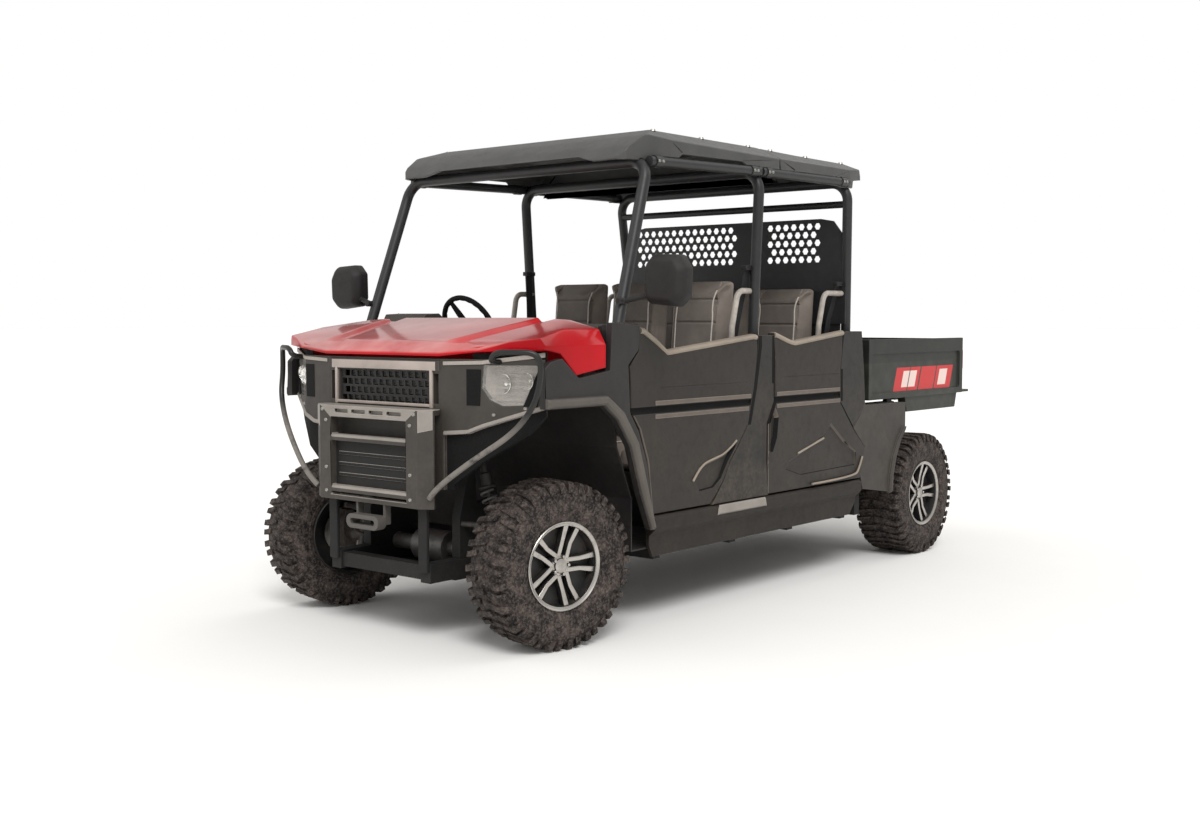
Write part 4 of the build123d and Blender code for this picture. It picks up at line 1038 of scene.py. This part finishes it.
def door_highlights():
    """Light strips above and below the groove of each door, and light beads along its pressings: painted
    highlights on those lips and edges.
    """
    for place, (spans, runs) in DOOR_HIGHLIGHT_LINES.items():
        for side, sign in SIDES:
            bars = []
            for (s0, s1), z0, z1 in zip(spans, (0.901, 0.9585), (0.9205, 0.978)):
                bar = cube("bar", at(sign * DOOR_X - 0.0022, s0, z0), at(sign * DOOR_X + 0.0022, s1, z1))
                bars.append(bevelled(bar, 0.0012, 1))
            dressed(joined(f"door_highlight_strips_{place}_{side}", bars), EDGE_HIGHLIGHT, body=f"door_{place}_{side}")
            beads = [tube("bead", [at(sign * 0.7985, s, z) for s, z in run], 0.0055, 12) for run in runs]
            dressed(joined(f"door_bead_highlights_{place}_{side}", beads), CAPPING_HIGHLIT, body=f"door_{place}_{side}")


def post_gap_shade():
    """Black strips on the posts along the door gaps: painted shade of the gaps."""
    outlines = (((1.318, 1.247), (1.344, 1.247), (1.345, 1.198), (1.304, 1.000), (1.256, 0.834),
        (1.235, 0.834), (1.282, 1.003), (1.321, 1.204)), ((1.436, 1.247), (1.449, 1.247), (1.449, 1.02),
        (1.436, 1.02)), ((2.079, 1.07), (2.096, 1.07), (2.098, 0.905), (2.083, 0.905)))
    shade_strips = [slab("gap_shade", [at(0.7925, s, z) for s, z in outline], (0.0025, 0, 0)) for outline in outlines]
    dressed(mirrored_pair("post_gap_shade", *shade_strips), BLACK_AND_SHADE)


WEBBING_HALF = Vector((0, 0.023, 0))


def belts():
    """Belts of the outer seats, hanging from the hoops to their anchors beside the seats."""
    straps, plates = [], []
    for hoop_s, top_z, foot_s, foot_z in ((1.352, 1.56, 1.27, 0.64), (2.19, 1.5, 2.06, 0.66)):
        for sign in (1, -1):
            route = ((0.705, hoop_s, top_z), (0.672, hoop_s - 0.03, 1.33), (0.64, hoop_s - 0.062, 1.05),
                (0.625, foot_s + 0.01, 0.8), (0.62, foot_s, foot_z))
            straps.append(strap([at(sign * x, s, z) for x, s, z in route]))
            guide = cube("guide", at(sign * 0.69, hoop_s - 0.032, top_z - 0.004),
                at(sign * 0.722, hoop_s + 0.036, top_z + 0.018))
            tongue = cube("tongue", at(sign * 0.634, foot_s + 0.004, 0.905),
                at(sign * 0.648, foot_s + 0.064, 0.955))
            anchor = cube("anchor", at(sign * 0.608, foot_s - 0.03, foot_z - 0.03),
                at(sign * 0.632, foot_s + 0.03, foot_z + 0.016))
            plates += [bevelled(part, 0.004, 2) for part in (guide, tongue, anchor)]
    dressed(joined("belt_webbing", straps), WEBBING, slot="seat_vinyl")
    dressed(joined("belt_fittings", plates), INNER)


def strap(points):
    """Flat webbing along points."""
    obj = line("strap", [p - WEBBING_HALF for p in points])
    extrude(WEBBING_HALF * 2)
    leave()
    return modify(obj, "SOLIDIFY", thickness=0.0016, offset=0)


# ---- seats ----
SEAT_COLUMNS = (("left", 0.395), ("middle", 0.0), ("right", -0.395))
SEAT_HALF = 0.178
PANEL_HALF = 0.118
SEAM = 0.0055
CLOTH_FRAMES = 20
BEAD_RADIUS = 0.0036
SWELL = 0.024                        # the most that a cover moves


def swollen(obj, held):
    """Cloth under pressure: the pad fills out from where it is held."""
    modify(obj, "REMESH", mode="VOXEL", voxel_size=0.0075)
    start = [v.co.copy() for v in obj.data.vertices]
    obj.vertex_groups.new(name="held").add([i for i, co in enumerate(start) if held(co)], 1, "REPLACE")
    activate(obj)
    cloth = obj.modifiers.new("cloth", "CLOTH")
    cloth.settings.vertex_group_mass = "held"
    cloth.settings.use_pressure = True
    cloth.settings.uniform_pressure_force = 4
    cloth.settings.effector_weights.gravity = 0
    for number in range(1, CLOTH_FRAMES + 1):
        bpy.context.scene.frame_set(number)
    bpy.ops.object.modifier_apply(modifier=cloth.name)
    bpy.context.scene.frame_set(1)
    for vertex, co in zip(obj.data.vertices, start):
        moved = vertex.co - co
        if moved.length > SWELL:
            vertex.co = co + moved * (SWELL / moved.length)
    modify(obj, "SMOOTH", factor=0.6, iterations=5)
    return modify(obj, "SUBSURF", levels=1, render_levels=1)


def sewn(obj, face_test, seam_test, depth):
    """Pulls the seams of the visible faces in."""
    with edit(obj, lambda v: face_test(v.normal) and seam_test(v.co), "VERT"):
        bpy.ops.transform.shrink_fatten(value=-depth)


def piping(pad, points):
    """A bead laid on the nearest surface of a pad."""
    laid = []
    for point in points:
        _, place, normal, _ = pad.closest_point_on_mesh(point)
        laid.append(place + normal * BEAD_RADIUS * 0.2)
    return tube("bead", laid, BEAD_RADIUS, 8)


def upholstered(pad, rounding, held, face, along, seams, bead_line):
    """Swells a pad, sews its side and cross seams, and gives the beads along its side seams."""
    bevelled(pad, rounding, 3)
    swollen(pad, held)
    sewn(pad, face, lambda co: abs(abs(co.x) - PANEL_HALF) < SEAM, 0.006)
    sewn(pad, face, lambda co: abs(co.x) < PANEL_HALF and any(abs(along(co) - s) < SEAM for s in seams), 0.0055)
    return [piping(pad, [Vector((sign * PANEL_HALF, y, z)) for y, z in bead_line]) for sign in (1, -1)]


def seat_row(row, cushion, back):
    """One row of three seats: a crowned cushion and a raked back, each with its seams and beads."""
    s0, s1, base = cushion
    crown = base + 0.104
    pad = cube("pad", at(-SEAT_HALF, s0 + 0.016, base), at(SEAT_HALF, s1 - 0.006, crown))
    beads = upholstered(pad, 0.02, lambda co: co.z < base + 0.022, lambda n: n.z > 0.35, lambda co: co.y
        - FRONT_AXLE_Y, [s0 + (s1 - s0) * k for k in (0.3, 0.52, 0.74)],
        [(FRONT_AXLE_Y + (s0 + 0.03 + (s1 - s0 - 0.08) * t / 12), crown + 0.02) for t in range(13)])
    seat_parts(row, "cushion", pad, beads, lambda n: n.z > 0.35)

    s0, z0, s1, z1 = back
    lean = Vector((0, s1 - s0, z1 - z0)).normalized()
    ahead = Vector((0, -lean.z, lean.y))
    length = math.hypot(s1 - s0, z1 - z0)
    foot = at(0, s0, z0)
    pad = cube("pad", (-SEAT_HALF, -0.06, 0.012), (SEAT_HALF, 0.0, length - 0.016))
    with edit(pad, lambda v: v.co.y < -0.03 and v.co.z < 0.1, "VERT"):
        shift((0, -0.012, 0))
    beads = upholstered(pad, 0.018, lambda co: co.y > -0.014, lambda n: n.y < -0.35, lambda co: co.z,
        [length * k for k in (0.3, 0.52, 0.72, 0.86)], [(-0.1, 0.05 + (length - 0.1) * t / 14)
        for t in range(15)])
    place = Matrix(((1, 0, 0, 0), (0, -ahead.y, lean.y, foot.y), (0, -ahead.z, lean.z, foot.z), (0, 0, 0, 1)))
    for part in [pad] + beads:
        part.data.transform(place)
    seat_parts(row, "back", pad, beads, lambda n: n.dot(ahead) > 0.35)


def seat_parts(row, kind, pad, beads, panel):
    """Three pads and their beads across a row. Faces in the middle that look the right way take the panel."""
    for polygon in pad.data.polygons:
        polygon.material_index = int(panel(polygon.normal) and abs(polygon.center.x) < PANEL_HALF)
    whole_bead = joined("bead", beads)
    for column, x in SEAT_COLUMNS:
        move = Matrix.Translation((x, 0, 0))
        piece = copied(pad, f"seat_{kind}_{row}_{column}", move)
        indices = [p.material_index for p in piece.data.polygons]
        dressed(piece, VINYL, PANEL, smooth=math.radians(60), slot="seat_vinyl")
        piece.data.polygons.foreach_set("material_index", indices)
        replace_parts(piece, "seat_cushions" if kind == "cushion" else "seat_backs")
        bead = copied(whole_bead, f"seat_{kind}_{row}_{column}_piping", move)
        dressed(bead, PIPING, slot="seat_vinyl")
    drop(pad, whole_bead)


seat_row("front", (0.96, 1.395, 0.6), (1.385, 0.73, 1.45, 1.525))
seat_row("rear", (1.8, 2.17, 0.62), (2.125, 0.75, 2.19, 1.5))


# ---- bed, roof and underbody ----
def bed_fittings():
    """Floor ribs, cleats and lamps on the bed, and the latch paddle of its gate."""
    rib = cube("rib", at(-0.018, 2.51, 0.9), at(0.018, 3.5, 0.9095))
    with edit(rib, lambda f: f.normal.z > 0.9):
        stretch((0.6, 0.99, 1))
    places = (-0.6, -0.45, -0.3, -0.15, 0, 0.15, 0.3, 0.45, 0.6)
    ribs = copies(bevelled(rib, 0.002, 2), "rib", [Matrix.Translation((x, 0, 0)) for x in places])
    dressed(joined("bed_floor_ribs", ribs), BED, body="cargo_bed", slot="bed_plastic")

    cleats, lamps_red = [], []
    for sign in (1, -1):
        for s in (2.62, 3.00, 3.4):
            hoop = ((0.728, -0.03, 1.15), (0.706, -0.026, 1.142), (0.7, 0, 1.138), (0.706, 0.026, 1.142),
                (0.728, 0.03, 1.15))
            cleats.append(tube("cleat", [at(sign * x, s + step, z) for x, step, z in hoop], 0.004, 12))
        lamp = cube("tail_lamp", at(sign * 0.741 - 0.012, 3.567, 1.03), at(sign * 0.741 + 0.012, 3.577, 1.14))
        with edit(lamp, lambda f: f.normal.y > 0.9):
            inset(0.003, 0.002)
        lamps_red.append(bevelled(lamp, 0.002, 2))
    dressed(joined("bed_cleats", cleats), ZINC, body="cargo_bed", slot="suspension_steel")
    dressed(joined("tail_lamps", lamps_red), TAIL, body="cargo_bed", slot="lamp_lens")

    paddle = cube("gate_paddle", at(-0.052, 3.5545, 1.124), at(0.052, 3.564, 1.158))
    with edit(paddle, lambda f: f.normal.y > 0.9):
        stretch((0.92, 1, 0.7))
        inset(0.005, -0.002)
    dressed(bevelled(paddle, 0.002, 2), BLACK_AND_SHADE, body="tailgate")


def roof_fittings():
    """Roof screws, and the clamps that hold the side rails between the hoops."""
    for node, stations in (("roof_front", (0.7, 1.06, 1.44)), ("roof_rear", (1.62, 1.92, 2.26))):
        places = [frame["nodes"][node].closest_point_on_mesh(at(sign * 0.69, s, 2.25))[1] for sign in (1, -1)
            for s in stations]
        screws(f"{node}_screws", places, (0, 0, 1), 0.01)
    clamps, bolts = [], []
    a, b, c = (0.737, 0.544, 1.998), (0.754, 1.377, 2.018), (0.755, 2.194, 2.026)
    for low, high in ((a, b), (b, c)):
        low, high = at(*low), at(*high)
        along = (high - low).normalized()
        for near, way in ((low, 1), (high, -1)):
            middle = near + along * way * 0.062
            sleeve = tube("sleeve", [middle - along * 0.024, middle + along * 0.024], 0.0262, 24, True)
            clamps.append(bevelled(sleeve, 0.0015, 1, 60))
            bolts += [middle + along * k + Vector((0.026, 0, 0)) for k in (-0.013, 0.013)]
    dressed(mirrored_pair("cage_clamps", *clamps), FRAME, slot="frame_steel")
    screws("cage_bolts_left", bolts, (1, 0, 0), 0.006)
    screws("cage_bolts_right", [ACROSS @ p for p in bolts], (-1, 0, 0), 0.006)


def drive_details():
    """Two clutch covers, a finned head on the engine, and the radiator behind the grille."""
    cover_line = [(0, 0), (0.125, 0), (0.132, 0.004), (0.132, 0.016), (0.12, 0.024), (0.08, 0.027),
        (0.076, 0.032), (0.03, 0.034), (0.026, 0.03), (0, 0.03)]
    cover = lathe("cover", cover_line, "Z", 48)
    small = copied(cover, "cover", Matrix.Scale(0.72, 4))
    side = Matrix.Rotation(math.pi / 2, 4, "Y")
    cover.data.transform(Matrix.Translation(at(0.234, 2.56, 0.52)) @ side)
    small.data.transform(Matrix.Translation(at(0.234, 2.76, 0.5)) @ side)
    pieces = [cover, small]
    for i in range(7):
        fin = cube("fin", at(-0.11, 2.48, 0.7 + 0.012 * i), at(0.11, 2.66, 0.7045 + 0.012 * i))
        pieces.append(bevelled(fin, 0.0012, 1))
    pieces.append(bevelled(cube("head", at(-0.085, 2.5, 0.69), at(0.085, 2.64, 0.792)), 0.006, 2))
    dressed(joined("engine_details", pieces), CAST, slot="engine_casting")

    fins = [cube("core", at(-0.336, -0.262, 0.96), at(0.336, -0.246, 1.13))]
    for i in range(26):
        z = 0.972 + 0.0058 * i
        fins.append(cube("fin", at(-0.256, -0.2685, z), at(0.256, -0.2665, z + 0.0022)))
    dressed(joined("radiator", fins), GLOSS)


def on_fascia(face):
    """1 on the edge under the lamps, light silver as a painted highlight; 2 below it, near black as painted
    shade.
    """
    x, z = abs(face.center.x), face.center.z
    if x < 0.365:
        return 0
    edge = between(((0.362, 0.862), (0.48, 0.872), (0.768, 0.975)), x)
    return 1 if -0.002 < z - edge < 0.016 else 2 * (z < edge)


def on_bumper(face):
    """1, light silver, on upward faces as a painted highlight and on the upper band's front; 2, near black as
    painted shade, on the feet and the sunk middle plate.
    """
    z, normal = face.center.z, face.normal
    recess_shade = abs(face.center.x) < 0.236 and normal.y < -0.5 and face.center.y - FRONT_AXLE_Y > -0.366
    if z < 0.56 or recess_shade:
        return 2
    return normal.z > 0.3 or z > 0.905 and normal.y < -0.4


def on_door(face):
    """1, near black as painted shade, in the groove and on the pockets' lower walls; 2, light as a painted
    highlight, on their upper walls.
    """
    x, z, normal = abs(face.center.x), face.center.z, face.normal
    if 0.924 < z < 0.956 and 0.78 < x < 0.7995:
        return 1
    wall = 0.15 < abs(normal.x) < 0.93 and 0.775 < x < 0.7995 and 0.54 < z < 0.91
    return (2 if normal.z < 0 else 1) if wall else 0


for build in (lamps, nose_fittings, bumper_caps, guards, shocks, steering_wheel, dash_fittings, mirrors,
        door_caps, door_highlights, post_gap_shade, belts, bed_fittings, roof_fittings, drive_details):
    build()

# node, edge rounding, which material each face takes, and the materials
ROUNDED = (
    ("front_fascia", 0.003, on_fascia, PLASTIC, TRIM_AND_HIGHLIGHT, BLACK_AND_SHADE),
    ("front_bumper", 0.004, on_bumper, PLASTIC, TRIM_AND_HIGHLIGHT, UNDER_DARKENED),
    ("grille", 0.001, None, INNER),
    # the fenders' outer lip faces take the lighter flare colour: painted highlight
    ("front_fenders", 0.004, lambda f: abs(f.center.x) > 0.806, FENDER, FLARE_HIGHLIT),
    # the rockers' outer faces take silver trim: partly the step pad, partly painted highlight along the sill
    # top
    ("rockers", 0.003, lambda f: abs(f.center.x) > 0.8005, ROCKER, TRIM_AND_HIGHLIGHT),
    ("body_posts", 0.004, None, POST),
    *((f"door_{place}_{side}", 0.003, on_door, DOOR, BLACK_AND_SHADE, EDGE_HIGHLIGHT) for place in ("front", "rear")
      for side, _ in SIDES),
    ("hood", 0.005, None, RED), ("roof_front", 0.006, None, ROOF), ("roof_rear", 0.006, None, ROOF),
    ("dashboard", 0.004, None, PLASTIC), ("tow_loop", 0.003, None, LOOP),
    ("cargo_bed", 0.003, None, BED), ("tailgate", 0.002, None, BED), ("rear_fenders", 0.003, None, PLASTIC),
    ("seat_bases", 0.012, None, INNER), ("suspension_towers", 0.002, None, UNDER_DARKENED),
    ("front_arms", 0.001, None, SUSPENSION), ("rear_arms", 0.001, None, SUSPENSION),
    ("knuckle_left", 0.002, None, SUSPENSION), ("knuckle_right", 0.002, None, SUSPENSION),
    ("engine_block", 0.01, None, CAST), ("bed_subframe", 0.002, None, UNDER_DARKENED),
    ("hitch_receiver", 0.002, None, UNDER_DARKENED), ("frame_crossmembers", 0.002, None, UNDER_DARKENED),
    ("chassis_rails", 0.003, None, UNDER_DARKENED))
for row in ROUNDED:
    softened(*row)
# CAD nodes whose shape stays, and their materials
for name, material in (
        ("cage_front_hoop", FRAME), ("cage_middle_hoop", FRAME), ("cage_rear_hoop", FRAME),
        ("cage_side_rails", FRAME), ("hip_bars", SATIN_HIGHLIT), ("rear_screen", FRAME),
        ("skid_plate", UNDER_DARKENED), ("floor_pan", INNER), ("rear_bulkhead", INNER), ("half_shafts", SUSPENSION),
        ("final_drives", CAST), ("silencer", CAST), ("steering_rack", SUSPENSION)):
    coloured(frame["nodes"][name], material)
